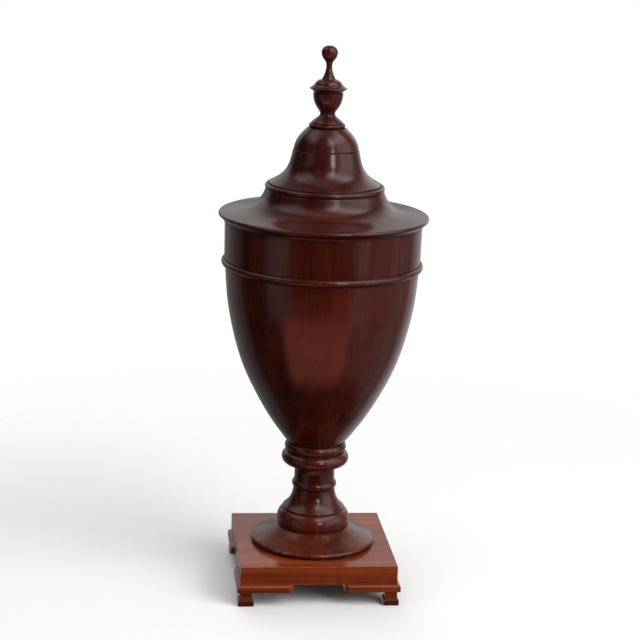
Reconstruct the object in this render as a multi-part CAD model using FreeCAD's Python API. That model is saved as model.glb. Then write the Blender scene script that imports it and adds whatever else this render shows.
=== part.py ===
import FreeCAD, Part
import math
import os

# Turned mahogany knife urn: a domed lid that lifts on a square post, stepped cutlery tiers in a tapering
# bowl, a turned stem, and a square plinth on four corner brackets and feet.
# Millimetres. The origin is on the urn's axis, on the surface that the feet stand on.
# +Z is up and the front is -Y.

Vector = FreeCAD.Vector
UP = Vector(0, 0, 1)
DOWN = Vector(0, 0, -1)

# Plinth and feet
PLINTH_SIDE = 192.0
PAD_HEIGHT = 8.0
PAD_SIDE = 19.0
PAD_BEVEL = 2.0
FOOT_BLOCK_HEIGHT = 10.0
FOOT_BLOCK_SIDE = 15.0
FOOT_CENTRE = 89.0
BRACKET_HEIGHT = 9.0
BRACKET_LEDGE = 4.0
BRACKET_DEPTH = 26.0
BRACKET_GAP = 63.0
BRACKET_CLIP = 5.0
BRACKET_OVOLO = 3.8
PLINTH_THICKNESS = 23.0
PLINTH_EASE = 0.6
FOOT_SCREW_INSET = 1.0

# Heights of the joints between the turned pieces
Z_PAD = PAD_HEIGHT
Z_BRACKET = Z_PAD + FOOT_BLOCK_HEIGHT
Z_BOARD = Z_BRACKET + BRACKET_HEIGHT
Z_PLINTH = Z_BOARD + PLINTH_THICKNESS
Z_COLUMN = 94.5
Z_RING = 126.0
Z_COLLAR = 152.0
Z_BOWL = 181.0
Z_ASTRAGAL = 402.0
Z_FRIEZE = 412.0
Z_LID = 458.0
Z_BEAD = 498.0
Z_BELL = 505.0
Z_CAP = 547.0
Z_FINIAL = 573.0
Z_SPIRE = 614.5
Z_TOP = 670.5

# Radii that the eye reads first
R_FOOT = 76.5
R_TORUS = 45.4
R_COLUMN_FOOT = 38.5
R_NECK = 25.0
R_RING = 27.8
RING_HEIGHT = 9.0
R_COLLAR = 41.7
R_COLLAR_BEAD = 38.3
R_BOWL_FOOT = 35.5
R_BOWL = 118.0
R_ASTRAGAL = 122.8
R_FRIEZE = 119.7
R_RIM = 127.5
R_BEAD = 72.4
R_BELL = 67.8
R_CAP = 39.4
R_CAP_TOP = 23.6
R_FINIAL_COLLAR = 22.0
R_FINIAL_NECK = 8.9
R_VASE = 18.1
R_LIP = 22.1
R_COVER = 16.4
R_SPIRE_NECK = 3.5
R_BALL = 9.8

# Bowl and the step inside it that carries the outer tier
BOWL_WALL = 10.0
BOWL_FLOOR = 200.0
R_CHAMBER = 106.0
R_STEP = 99.0
R_SPIGOT = 112.0
SPIGOT_HEIGHT = 14.0

# Joint between the bowl's solid base and its wall
Z_WALL = 262.0
R_REBATE = 80.5
REBATE_HEIGHT = 4.0

# Joints between the turned pieces
SCREW_R = 5.0
SCREW_TIP = 128.0
FOOT_TENON_R = 14.0
FOOT_TENON_DEPTH = 14.5
COLLAR_TENON_R = 13.0
COLLAR_TENON_TOP = 194.0
COUNTERBORE_R = 16.0
COUNTERBORE_DEPTH = 10.0
TIE_HEAD_SIDE = 15.0
TIE_HEAD_HEIGHT = 6.0
WASHER_THICKNESS = 2.0

# Wood screws
FOOT_SCREW = {"head_r": 3.8, "shank_r": 2.0, "length": 36.0}
BUSH_SCREW = {"head_r": 2.2, "shank_r": 1.0, "length": 8.0}
FLANGE_SCREW = {"head_r": 2.4, "shank_r": 1.2, "length": 9.0}
STOP_SCREW = {"head_r": 3.0, "shank_r": 1.5, "length": 22.0}
BUSH_SCREW_REACH = 13.4
FLANGE_SCREW_REACH = 16.0

# Cutlery tiers, outer to inner: top of the board, its slots and the riser under it
TIER_THICKNESS = 6.0
TIER_RISE = 22.0
Z_OUTER_TIER = 352.0
Z_MIDDLE_TIER = Z_OUTER_TIER + TIER_RISE
Z_INNER_TIER = Z_MIDDLE_TIER + TIER_RISE
RISER_WALL = 6.0
R_MIDDLE_TIER = 72.0
R_INNER_TIER = 44.0
TIER_LAP = 2.0
EDGING_WIDTH = 2.0
SLOT_WIDTH = 8.0
OUTER_SLOTS = {"count": 12, "near": 76.0, "far": 96.0}
MIDDLE_SLOTS = {"count": 6, "near": 48.0, "far": 64.0}
INNER_SLOTS = {"count": 4, "near": 21.0, "far": 35.0}

# Lift post, its guide and its catch
POST_SIDE = 12.0
POST_BOTTOM = 203.0
POST_SHOULDER = 537.0
POST_TENON_R = 6.0
POST_TENON_TOP = 560.0
LIFT = 155.0
STOP_SIDE = 19.4
STOP_HEIGHT = 10.0
STOP_FLOOR = 2.0
TUBE_SIDE = 28.0
TUBE_BORE = 20.0
BUSH_BORE = 12.2
BUSH_FLANGE_R = 18.0
BUSH_FLANGE_THICKNESS = 2.0
BUSH_EASE = 0.6
Z_BUSH_BOTTOM = POST_BOTTOM + STOP_HEIGHT + LIFT
SOCKET_R = 27.0
SOCKET_HEIGHT = 12.0
POST_FLANGE_R = 22.0
POST_FLANGE_THICKNESS = 3.0
CATCH_PIVOT_X = 1.5
CATCH_PIVOT_Z = 270.0
CATCH_PIN_R = 1.5
CATCH_CLEARANCE = 0.05
CATCH_WIDTH = 4.0
CATCH_BOTTOM = 244.0
CATCH_BACK = -1.5
CATCH_FACE = 5.8
CATCH_HEAD_R = 4.0
CATCH_SLOT_WIDTH = 4.2
CATCH_SLOT_BACK = -3.2
CATCH_SLOT_BOTTOM = 240.0
CATCH_SLOT_TOP = 277.0
SPRING_THICKNESS = 0.6

# Lid
LID_CHAMBER_R = 62.0
LID_CHAMBER_TOP = 484.0
LID_NECK_R = 50.0
BELL_CHAMBER_R = 30.0
LOCATING_RING_R = 105.5
LOCATING_RING_WALL = 7.5
LOCATING_RING_DEPTH = 8.0
LOCATING_GROOVE = 4.0
DOWEL_R = 5.0
DOWEL_BOTTOM = 562.0
DOWEL_TOP = 584.0
SPIRE_TENON_R = 6.0
SPIRE_TENON_DEPTH = 10.0


class Outline:
    """Half section of a turned piece, as radius and height, built edge by edge."""

    def __init__(self, radius, height):
        self.start = (radius, height)
        self.here = self.start
        self.edges = []

    def line(self, radius, height):
        self.edges.append(Part.makeLine(at(self.here), at((radius, height))))
        self.here = (radius, height)
        return self

    def arc(self, middle, radius, height):
        self.edges.append(Part.Arc(at(self.here), at(middle), at((radius, height))).toShape())
        self.here = (radius, height)
        return self

    def curve(self, *points):
        spline = Part.BSplineCurve()
        spline.interpolate([at(point) for point in (self.here, *points)])
        self.edges.append(spline.toShape())
        self.here = points[-1]
        return self

    def turned(self):
        if self.here != self.start:
            self.line(*self.start)
        return Part.Face(Part.Wire(self.edges)).revolve(Vector(0, 0, 0), UP, 360)


def at(point):
    return Vector(point[0], 0, point[1])


def block(side_x, side_y, bottom, top, x=0.0, y=0.0):
    return Part.makeBox(side_x, side_y, top - bottom, Vector(x - side_x / 2, y - side_y / 2, bottom))


def rod(radius, bottom, top, x=0.0, y=0.0):
    return Part.makeCylinder(radius, top - bottom, Vector(x, y, bottom), UP)


def turned_by(shape, degrees):
    copy = shape.copy()
    copy.rotate(Vector(0, 0, 0), UP, degrees)
    return copy


def countersunk_screw(size, face, way, x=0.0, y=0.0):
    """Slotted wood screw driven up or down, as way says, with its head let into a face at that height."""
    head_r = size["head_r"]
    shank_r = size["shank_r"]
    head_height = head_r - shank_r
    point_length = 2 * shank_r
    neck = Vector(x, y, face) + way * head_height
    shank_end = Vector(x, y, face) + way * (size["length"] - point_length)
    head = Part.makeCone(head_r, shank_r, head_height, Vector(x, y, face), way)
    shank = Part.makeCylinder(shank_r, (shank_end - neck).Length, neck, way)
    point = Part.makeCone(shank_r, 0.2 * shank_r, point_length, shank_end, way)
    screw = head.fuse([shank, point]).removeSplitter()
    slot_end = face + way.z * 0.4 * head_height
    driver_slot = block(2 * head_r, 0.3 * head_r, min(face, slot_end), max(face, slot_end), x, y)
    return screw.cut(driver_slot)


def screw_hole(size, face, way, x=0.0, y=0.0):
    """Countersink and straight hole for such a screw."""
    head_r = size["head_r"]
    shank_r = size["shank_r"]
    sink = Part.makeCone(head_r, shank_r, head_r - shank_r, Vector(x, y, face), way)
    return sink.fuse(Part.makeCylinder(shank_r, size["length"], Vector(x, y, face), way))


def corners():
    """Name and signs of the four corners, seen from the front."""
    return (("front_left", -1, -1), ("front_right", 1, -1), ("back_left", -1, 1), ("back_right", 1, 1))


def foot_screw(sign_x, sign_y):
    return countersunk_screw(FOOT_SCREW, FOOT_SCREW_INSET, UP, sign_x * FOOT_CENTRE, sign_y * FOOT_CENTRE)


def foot_screw_hole(sign_x, sign_y):
    """What the foot screw takes out of the pad, the block, the bracket and the board."""
    x = sign_x * FOOT_CENTRE
    y = sign_y * FOOT_CENTRE
    mouth = rod(FOOT_SCREW["head_r"], 0.0, FOOT_SCREW_INSET, x, y)
    return mouth.fuse(screw_hole(FOOT_SCREW, FOOT_SCREW_INSET, UP, x, y))


def foot_pad(sign_x, sign_y):
    x = sign_x * FOOT_CENTRE
    y = sign_y * FOOT_CENTRE
    pad = block(PAD_SIDE, PAD_SIDE, 0.0, PAD_HEIGHT, x, y)
    top_edges = [edge for edge in pad.Edges if all(abs(v.Z - PAD_HEIGHT) < 0.01 for v in edge.Vertexes)]
    return pad.makeFillet(PAD_BEVEL, top_edges).cut(foot_screw_hole(sign_x, sign_y))


def foot_block(sign_x, sign_y):
    x = sign_x * FOOT_CENTRE
    y = sign_y * FOOT_CENTRE
    piece = block(FOOT_BLOCK_SIDE, FOOT_BLOCK_SIDE, Z_PAD, Z_BRACKET, x, y)
    return piece.cut(foot_screw_hole(sign_x, sign_y))


def corner_bracket(sign_x, sign_y):
    """L-shaped moulding under one corner of the plinth, with clipped ends and an ovolo edge."""
    outer = PLINTH_SIDE / 2 + BRACKET_LEDGE
    face = PLINTH_SIDE / 2
    inner = outer - BRACKET_DEPTH
    end = BRACKET_GAP / 2
    plan = [
        (outer, outer),
        (outer, end + BRACKET_CLIP),
        (face, end),
        (inner, end),
        (inner, inner),
        (end, inner),
        (end, face),
        (end + BRACKET_CLIP, outer),
    ]
    points = [Vector(sign_x * x, sign_y * y, Z_BRACKET) for x, y in plan]
    moulding = Part.Face(Part.makePolygon(points + points[:1])).extrude(Vector(0, 0, BRACKET_HEIGHT))
    outer_edges = []
    for edge in moulding.Edges:
        if any(abs(v.Z - Z_BOARD) > 0.01 for v in edge.Vertexes):
            continue
        if all(max(abs(v.X), abs(v.Y)) > outer - 0.01 for v in edge.Vertexes):
            outer_edges.append(edge)
    return moulding.makeFillet(BRACKET_OVOLO, outer_edges).cut(foot_screw_hole(sign_x, sign_y))


def plinth_block():
    board = block(PLINTH_SIDE, PLINTH_SIDE, Z_BOARD, Z_PLINTH)
    low_edges = [edge for edge in board.Edges if all(abs(v.Z - Z_BOARD) < 0.01 for v in edge.Vertexes)]
    eased = [edge for edge in board.Edges if not any(edge.isSame(low) for low in low_edges)]
    board = board.makeFillet(PLINTH_EASE, eased)
    board = board.cut(rod(COUNTERBORE_R, Z_BOARD, Z_BOARD + COUNTERBORE_DEPTH))
    board = board.cut(rod(SCREW_R, Z_BOARD, Z_PLINTH))
    for _, sign_x, sign_y in corners():
        board = board.cut(foot_screw_hole(sign_x, sign_y))
    return board


def tie_washer():
    seat = Z_BOARD + COUNTERBORE_DEPTH
    bottom = seat - WASHER_THICKNESS
    return rod(COUNTERBORE_R - 2.0, bottom, seat).cut(rod(SCREW_R, bottom, seat))


def tie_screw():
    """Square-headed screw that draws the plinth and the foot up to the column."""
    seat = Z_BOARD + COUNTERBORE_DEPTH - WASHER_THICKNESS
    head = block(TIE_HEAD_SIDE, TIE_HEAD_SIDE, seat - TIE_HEAD_HEIGHT, seat)
    shank = rod(SCREW_R, seat, SCREW_TIP - 2 * SCREW_R)
    point = Part.makeCone(SCREW_R, 1.0, 2 * SCREW_R, Vector(0, 0, SCREW_TIP - 2 * SCREW_R), UP)
    return head.fuse([shank, point]).removeSplitter()


def spreading_foot():
    outline = Outline(SCREW_R, Z_PLINTH)
    outline.line(R_FOOT - 3.0, Z_PLINTH)
    outline.line(R_FOOT - 3.0, Z_PLINTH + 1.5)
    outline.line(R_FOOT - 0.8, Z_PLINTH + 2.6)
    outline.arc((R_FOOT, Z_PLINTH + 4.6), R_FOOT - 1.6, Z_PLINTH + 7.0)
    outline.curve((R_FOOT - 7.0, Z_PLINTH + 9.2), (R_FOOT - 19.0, Z_PLINTH + 14.0),
                  (R_TORUS, Z_PLINTH + 21.5))
    outline.line(R_TORUS - 1.8, Z_PLINTH + 21.8)
    outline.line(R_TORUS - 1.8, Z_PLINTH + 23.2)
    outline.arc((R_TORUS, Z_PLINTH + 30.0), R_COLUMN_FOOT + 1.2, Z_COLUMN - 1.6)
    outline.line(R_COLUMN_FOOT - 0.6, Z_COLUMN - 1.0)
    outline.line(R_COLUMN_FOOT - 0.6, Z_COLUMN)
    outline.line(FOOT_TENON_R, Z_COLUMN)
    outline.line(FOOT_TENON_R, Z_COLUMN - FOOT_TENON_DEPTH)
    outline.line(SCREW_R, Z_COLUMN - FOOT_TENON_DEPTH)
    return outline.turned()


def stem_column():
    ring_bottom = Z_RING - RING_HEIGHT / 2
    ring_top = Z_RING + RING_HEIGHT / 2
    outline = Outline(0.0, SCREW_TIP)
    outline.line(1.0, SCREW_TIP)
    outline.line(SCREW_R, SCREW_TIP - 2 * SCREW_R)
    outline.line(SCREW_R, Z_COLUMN - FOOT_TENON_DEPTH)
    outline.line(FOOT_TENON_R, Z_COLUMN - FOOT_TENON_DEPTH)
    outline.line(FOOT_TENON_R, Z_COLUMN)
    outline.line(R_COLUMN_FOOT, Z_COLUMN)
    outline.line(R_COLUMN_FOOT, Z_COLUMN + 1.2)
    outline.curve((33.0, 101.0), (28.2, 109.0), (R_NECK + 0.6, ring_bottom))
    outline.arc((R_RING, Z_RING), R_NECK + 0.2, ring_top)
    outline.curve((R_NECK, 138.0), (R_NECK + 0.4, 146.0), (R_NECK + 2.0, Z_COLLAR - 1.2))
    outline.line(R_NECK + 2.0, Z_COLLAR)
    outline.line(COLLAR_TENON_R, Z_COLLAR)
    outline.line(COLLAR_TENON_R, COLLAR_TENON_TOP)
    outline.line(0.0, COLLAR_TENON_TOP)
    return outline.turned()


def stem_collar():
    bead_bottom = Z_BOWL - 11.0
    outline = Outline(COLLAR_TENON_R, Z_COLLAR)
    outline.line(R_COLLAR - 7.0, Z_COLLAR)
    outline.arc((R_COLLAR, Z_COLLAR + 7.5), R_COLLAR - 5.2, bead_bottom - 1.6)
    outline.line(R_COLLAR_BEAD - 2.4, bead_bottom - 1.6)
    outline.line(R_COLLAR_BEAD - 2.4, bead_bottom)
    outline.arc((R_COLLAR_BEAD, bead_bottom + 4.8), R_COLLAR_BEAD - 2.2, Z_BOWL - 1.2)
    outline.line(R_BOWL_FOOT - 0.6, Z_BOWL - 1.2)
    outline.line(R_BOWL_FOOT - 0.6, Z_BOWL)
    outline.line(COLLAR_TENON_R, Z_BOWL)
    return outline.turned()


def bowl_side():
    """Outer face of the bowl: the few points that its curve runs through, from the stem up."""
    return [
        (R_BOWL_FOOT, Z_BOWL),
        (57.2, 210.5),
        (78.6, 247.0),
        (94.8, 282.0),
        (106.4, 320.0),
        (114.0, 358.0),
        (R_BOWL, Z_ASTRAGAL),
    ]


def bowl_lining():
    """The bowl's inner face below the step, one wall thickness inside the outer face."""
    spline = Part.BSplineCurve()
    spline.interpolate([at(point) for point in bowl_side()])
    points = []
    for radius, height in bowl_side()[1:5]:
        tangent = spline.tangent(spline.parameter(at((radius, height))))[0]
        points.append((radius - BOWL_WALL * abs(tangent.z), height + BOWL_WALL * abs(tangent.x)))
    return points


def bowl():
    """The bowl as one turning, before it is parted into its base and its wall."""
    step = Z_OUTER_TIER - TIER_THICKNESS
    outline = Outline(R_BOWL_FOOT, Z_BOWL)
    outline.curve(*bowl_side()[1:])
    outline.line(R_SPIGOT, Z_ASTRAGAL)
    outline.line(R_SPIGOT, Z_ASTRAGAL + SPIGOT_HEIGHT)
    outline.line(R_CHAMBER, Z_ASTRAGAL + SPIGOT_HEIGHT)
    outline.line(R_CHAMBER, step)
    outline.line(R_STEP, step)
    outline.curve(*reversed(bowl_lining()), (SOCKET_R + 3.0, BOWL_FLOOR + 2.0))
    outline.line(SOCKET_R, BOWL_FLOOR)
    outline.line(0.0, BOWL_FLOOR)
    outline.line(0.0, COLLAR_TENON_TOP)
    outline.line(COLLAR_TENON_R, COLLAR_TENON_TOP)
    outline.line(COLLAR_TENON_R, Z_BOWL)
    return outline.turned()


def below_wall():
    """The space under the bowl's wall, with the lip that stands up inside the wall's foot."""
    return rod(R_BOWL, Z_BOWL, Z_WALL).fuse(rod(R_REBATE, Z_WALL, Z_WALL + REBATE_HEIGHT))


def bowl_base():
    return bowl().common(below_wall())


def bowl_shell():
    return bowl().cut(below_wall())


def astragal_ring():
    outline = Outline(R_SPIGOT, Z_ASTRAGAL)
    outline.line(R_BOWL + 0.6, Z_ASTRAGAL)
    outline.line(R_BOWL + 0.6, Z_ASTRAGAL + 1.2)
    outline.arc((R_ASTRAGAL, Z_ASTRAGAL + 5.4), R_FRIEZE + 0.4, Z_FRIEZE - 0.6)
    outline.line(R_FRIEZE + 0.4, Z_FRIEZE)
    outline.line(R_SPIGOT, Z_FRIEZE)
    return outline.turned()


def frieze_band():
    spigot_top = Z_ASTRAGAL + SPIGOT_HEIGHT
    outline = Outline(R_SPIGOT, Z_FRIEZE)
    outline.line(R_FRIEZE - 0.4, Z_FRIEZE)
    outline.line(R_FRIEZE, Z_LID - 0.6)
    outline.line(R_FRIEZE - 0.6, Z_LID)
    outline.line(R_CHAMBER, Z_LID)
    outline.line(R_CHAMBER, spigot_top)
    outline.line(R_SPIGOT, spigot_top)
    return outline.turned()


def slot_cutter(near, far, bottom, top):
    """Round-ended cutter for one cutlery slot, its length along the radius."""
    end_r = SLOT_WIDTH / 2
    cutter = block(far - near - SLOT_WIDTH, SLOT_WIDTH, bottom, top, (near + far) / 2)
    ends = [rod(end_r, bottom, top, near + end_r), rod(end_r, bottom, top, far - end_r)]
    return cutter.fuse(ends).removeSplitter()


def tier_board(slots, inner_r, outer_r, top):
    board = rod(outer_r, top - TIER_THICKNESS, top)
    if inner_r:
        board = board.cut(rod(inner_r, top - TIER_THICKNESS, top))
    cutter = slot_cutter(slots["near"], slots["far"], top - TIER_THICKNESS, top)
    step = 360.0 / slots["count"]
    return board.cut([turned_by(cutter, step * n) for n in range(slots["count"])])


def outer_tier():
    return tier_board(OUTER_SLOTS, R_MIDDLE_TIER - RISER_WALL - TIER_LAP, R_CHAMBER, Z_OUTER_TIER)


def middle_tier():
    return tier_board(MIDDLE_SLOTS, R_INNER_TIER - RISER_WALL - TIER_LAP, R_MIDDLE_TIER, Z_MIDDLE_TIER)


def inner_tier():
    board = tier_board(INNER_SLOTS, 0.0, R_INNER_TIER, Z_INNER_TIER)
    mouth = block(TUBE_BORE, TUBE_BORE, Z_INNER_TIER - TIER_THICKNESS, Z_INNER_TIER)
    return board.cut([mouth, *bush_screw_holes()])


def riser(outer_r, bottom, top):
    return rod(outer_r, bottom, top).cut(rod(outer_r - RISER_WALL, bottom, top))


def tier_edging(inner_r, top):
    """Pale rounded strip round the edge of a tier board."""
    bottom = top - TIER_THICKNESS
    outer_r = inner_r + EDGING_WIDTH
    outline = Outline(inner_r, bottom)
    outline.line(outer_r - 1.0, bottom)
    outline.arc((outer_r, (bottom + top) / 2), outer_r - 1.0, top)
    outline.line(inner_r, top)
    return outline.turned()


def guide_socket():
    """Disc on the bowl's floor with a square hole for the foot of the guide tube."""
    disc = rod(SOCKET_R, BOWL_FLOOR, BOWL_FLOOR + SOCKET_HEIGHT)
    return disc.cut(block(TUBE_SIDE, TUBE_SIDE, BOWL_FLOOR, BOWL_FLOOR + SOCKET_HEIGHT))


def guide_tube():
    top = Z_INNER_TIER - TIER_THICKNESS
    return block(TUBE_SIDE, TUBE_SIDE, BOWL_FLOOR, top).cut(block(TUBE_BORE, TUBE_BORE, BOWL_FLOOR, top))


def bush_screw_places():
    reach = BUSH_SCREW_REACH
    return [(reach, 0.0), (-reach, 0.0), (0.0, reach), (0.0, -reach)]


def bush_screw_holes():
    top = Z_INNER_TIER + BUSH_FLANGE_THICKNESS
    return [screw_hole(BUSH_SCREW, top, DOWN, x, y) for x, y in bush_screw_places()]


def guide_bush():
    top = Z_INNER_TIER + BUSH_FLANGE_THICKNESS
    barrel = block(TUBE_BORE, TUBE_BORE, Z_BUSH_BOTTOM, Z_INNER_TIER)
    flange = rod(BUSH_FLANGE_R, Z_INNER_TIER, top)
    rim = [edge for edge in flange.Edges if abs(edge.CenterOfMass.z - top) < 0.01]
    flange = flange.makeFillet(BUSH_EASE, rim)
    bore = block(BUSH_BORE, BUSH_BORE, Z_BUSH_BOTTOM, top)
    return barrel.fuse(flange).cut([bore, *bush_screw_holes()])


def bush_screws():
    top = Z_INNER_TIER + BUSH_FLANGE_THICKNESS
    return [countersunk_screw(BUSH_SCREW, top, DOWN, x, y) for x, y in bush_screw_places()]


def lid_rim():
    """Flat rim of the lid with its moulded edge, and the cove that rises from it."""
    groove_top = Z_LID + LOCATING_GROOVE
    outline = Outline(LID_CHAMBER_R, Z_LID)
    outline.line(LOCATING_RING_R - LOCATING_RING_WALL, Z_LID)
    outline.line(LOCATING_RING_R - LOCATING_RING_WALL, groove_top)
    outline.line(LOCATING_RING_R, groove_top)
    outline.line(LOCATING_RING_R, Z_LID)
    outline.line(R_FRIEZE + 1.4, Z_LID)
    outline.line(R_FRIEZE + 1.4, Z_LID + 1.2)
    outline.arc((R_RIM - 4.2, Z_LID + 4.6), R_RIM - 1.0, Z_LID + 6.4)
    outline.arc((R_RIM, Z_LID + 8.6), R_RIM - 1.8, Z_LID + 10.8)
    outline.curve((R_RIM - 12.0, Z_LID + 12.4), (98.0, Z_LID + 15.8), (85.0, Z_LID + 21.0),
                  (76.8, Z_LID + 28.6), (R_BEAD - 0.6, Z_BEAD - 1.2))
    outline.line(R_BEAD - 1.4, Z_BEAD)
    outline.line(LID_NECK_R, Z_BEAD)
    outline.line(LID_NECK_R, LID_CHAMBER_TOP)
    outline.line(LID_CHAMBER_R, LID_CHAMBER_TOP)
    return outline.turned()


def locating_ring():
    """Ring let into the underside of the rim, which drops inside the frieze when the lid shuts."""
    inner_r = LOCATING_RING_R - LOCATING_RING_WALL
    bottom = Z_LID - LOCATING_RING_DEPTH
    top = Z_LID + LOCATING_GROOVE
    outline = Outline(inner_r, bottom)
    outline.line(LOCATING_RING_R - 1.5, bottom)
    outline.line(LOCATING_RING_R, bottom + 1.5)
    outline.line(LOCATING_RING_R, top)
    outline.line(inner_r, top)
    return outline.turned()


def lid_bead():
    outline = Outline(LID_NECK_R, Z_BEAD)
    outline.line(R_BEAD - 0.9, Z_BEAD)
    outline.line(R_BEAD - 0.9, Z_BEAD + 0.6)
    outline.arc((R_BEAD, Z_BEAD + 2.6), R_BELL + 1.4, Z_BELL - 0.8)
    outline.line(R_BELL + 1.4, Z_BELL)
    outline.line(LID_NECK_R, Z_BELL)
    return outline.turned()


def lid_bell():
    """The concave and convex sweep above the bead, hollow, with a ceiling for the lift post."""
    outline = Outline(LID_NECK_R, Z_BELL)
    outline.line(R_BELL, Z_BELL)
    outline.line(R_BELL, Z_BELL + 0.8)
    outline.curve((58.4, 511.2), (49.8, 518.6), (44.4, 528.0), (41.6, 538.0), (R_CAP + 0.3, Z_CAP - 0.9))
    outline.line(R_CAP - 0.6, Z_CAP)
    outline.line(POST_TENON_R, Z_CAP)
    outline.line(POST_TENON_R, POST_SHOULDER)
    outline.line(BELL_CHAMBER_R, POST_SHOULDER)
    outline.curve((33.0, 524.0), (LID_NECK_R - 8.0, 512.0), (LID_NECK_R, Z_BELL))
    return outline.turned().cut(flange_screw_holes())


def lid_cap():
    outline = Outline(0.0, POST_TENON_TOP)
    outline.line(POST_TENON_R, POST_TENON_TOP)
    outline.line(POST_TENON_R, Z_CAP)
    outline.line(R_CAP - 0.6, Z_CAP)
    outline.line(R_CAP - 0.1, Z_CAP + 0.7)
    outline.curve((36.4, 556.4), (31.0, 564.8), (R_CAP_TOP, Z_FINIAL - 0.8))
    outline.line(R_CAP_TOP - 1.8, Z_FINIAL)
    outline.line(DOWEL_R, Z_FINIAL)
    outline.line(DOWEL_R, DOWEL_BOTTOM)
    outline.line(0.0, DOWEL_BOTTOM)
    return outline.turned()


def finial_vase():
    """Small vase on a spread collar, bored below for the dowel and above for the spire's tenon."""
    quirk_r = R_FINIAL_COLLAR - 3.0
    outline = Outline(DOWEL_R, Z_FINIAL)
    outline.line(R_FINIAL_COLLAR - 1.2, Z_FINIAL)
    outline.line(R_FINIAL_COLLAR - 1.2, Z_FINIAL + 0.8)
    outline.arc((R_FINIAL_COLLAR, Z_FINIAL + 2.8), R_FINIAL_COLLAR - 2.2, Z_FINIAL + 4.9)
    outline.line(quirk_r, Z_FINIAL + 4.9)
    outline.line(quirk_r, Z_FINIAL + 6.4)
    outline.curve((15.2, 582.8), (11.3, 585.8), (R_FINIAL_NECK, 589.2), (10.2, 592.8), (13.4, 597.4),
                  (16.9, 605.2), (R_VASE, Z_SPIRE - 1.0))
    outline.line(R_VASE - 1.0, Z_SPIRE)
    outline.line(SPIRE_TENON_R, Z_SPIRE)
    outline.line(SPIRE_TENON_R, Z_SPIRE - SPIRE_TENON_DEPTH)
    outline.line(0.0, Z_SPIRE - SPIRE_TENON_DEPTH)
    outline.line(0.0, DOWEL_TOP)
    outline.line(DOWEL_R, DOWEL_TOP)
    return outline.turned()


def finial_spire():
    """Flared cover of the little vase, its slender neck and the drop-shaped ball."""
    outline = Outline(0.0, Z_SPIRE - SPIRE_TENON_DEPTH)
    outline.line(SPIRE_TENON_R, Z_SPIRE - SPIRE_TENON_DEPTH)
    outline.line(SPIRE_TENON_R, Z_SPIRE)
    outline.line(R_VASE - 0.6, Z_SPIRE)
    outline.line(R_VASE - 0.6, Z_SPIRE + 1.0)
    outline.arc((R_VASE + 1.2, Z_SPIRE + 3.0), R_LIP, Z_SPIRE + 4.4)
    outline.line(R_LIP, Z_SPIRE + 5.8)
    outline.curve((R_LIP - 3.0, Z_SPIRE + 7.7), (R_COVER + 0.8, Z_SPIRE + 9.6))
    outline.line(R_COVER, Z_SPIRE + 9.8)
    outline.arc((R_COVER - 1.8, Z_SPIRE + 13.0), 9.6, Z_SPIRE + 15.6)
    outline.line(8.4, Z_SPIRE + 15.9)
    outline.curve((6.1, 635.0), (4.3, 640.4), (R_SPIRE_NECK, 646.2), (4.2, 650.4), (7.2, 654.8),
                  (R_BALL, 662.0), (8.4, 666.8), (4.8, 669.6), (0.0, Z_TOP))
    return outline.turned()


def finial_dowel():
    return rod(DOWEL_R, DOWEL_BOTTOM, DOWEL_TOP)


def lift_post():
    """Square post under the lid, round where it is glued into the bell and the cap."""
    post = block(POST_SIDE, POST_SIDE, POST_BOTTOM + STOP_FLOOR, POST_SHOULDER)
    post = post.fuse(rod(POST_TENON_R, POST_SHOULDER, POST_TENON_TOP)).removeSplitter()
    depth = POST_SIDE / 2 - CATCH_SLOT_BACK
    slot = block(depth, CATCH_SLOT_WIDTH, CATCH_SLOT_BOTTOM, CATCH_SLOT_TOP, CATCH_SLOT_BACK + depth / 2)
    return post.cut([slot, pivot_rod(CATCH_PIN_R, POST_SIDE), screw_hole(STOP_SCREW, POST_BOTTOM, UP)])


def post_stop():
    """Block round the foot of the post, which meets the bush when the lid is fully up."""
    stop = block(STOP_SIDE, STOP_SIDE, POST_BOTTOM, POST_BOTTOM + STOP_HEIGHT)
    socket = block(POST_SIDE, POST_SIDE, POST_BOTTOM + STOP_FLOOR, POST_BOTTOM + STOP_HEIGHT)
    return stop.cut([socket, screw_hole(STOP_SCREW, POST_BOTTOM, UP)])


def stop_screw():
    return countersunk_screw(STOP_SCREW, POST_BOTTOM, UP)


def flange_screw_places():
    reach = FLANGE_SCREW_REACH * math.sqrt(0.5)
    return [(sign_x * reach, sign_y * reach) for _, sign_x, sign_y in corners()]


def flange_screw_holes():
    bottom = POST_SHOULDER - POST_FLANGE_THICKNESS
    return [screw_hole(FLANGE_SCREW, bottom, UP, x, y) for x, y in flange_screw_places()]


def post_flange():
    """Brass plate that ties the post to the bell's ceiling."""
    bottom = POST_SHOULDER - POST_FLANGE_THICKNESS
    plate = rod(POST_FLANGE_R, bottom, POST_SHOULDER)
    return plate.cut([block(POST_SIDE, POST_SIDE, bottom, POST_SHOULDER), *flange_screw_holes()])


def flange_screws():
    bottom = POST_SHOULDER - POST_FLANGE_THICKNESS
    return [countersunk_screw(FLANGE_SCREW, bottom, UP, x, y) for x, y in flange_screw_places()]


def pivot_rod(radius, width):
    """Round bar along Y through the catch's pivot."""
    end = Vector(CATCH_PIVOT_X, -width / 2, CATCH_PIVOT_Z)
    return Part.makeCylinder(radius, width, end, Vector(0, 1, 0))


def catch_pin():
    return pivot_rod(CATCH_PIN_R, POST_SIDE)


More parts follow.
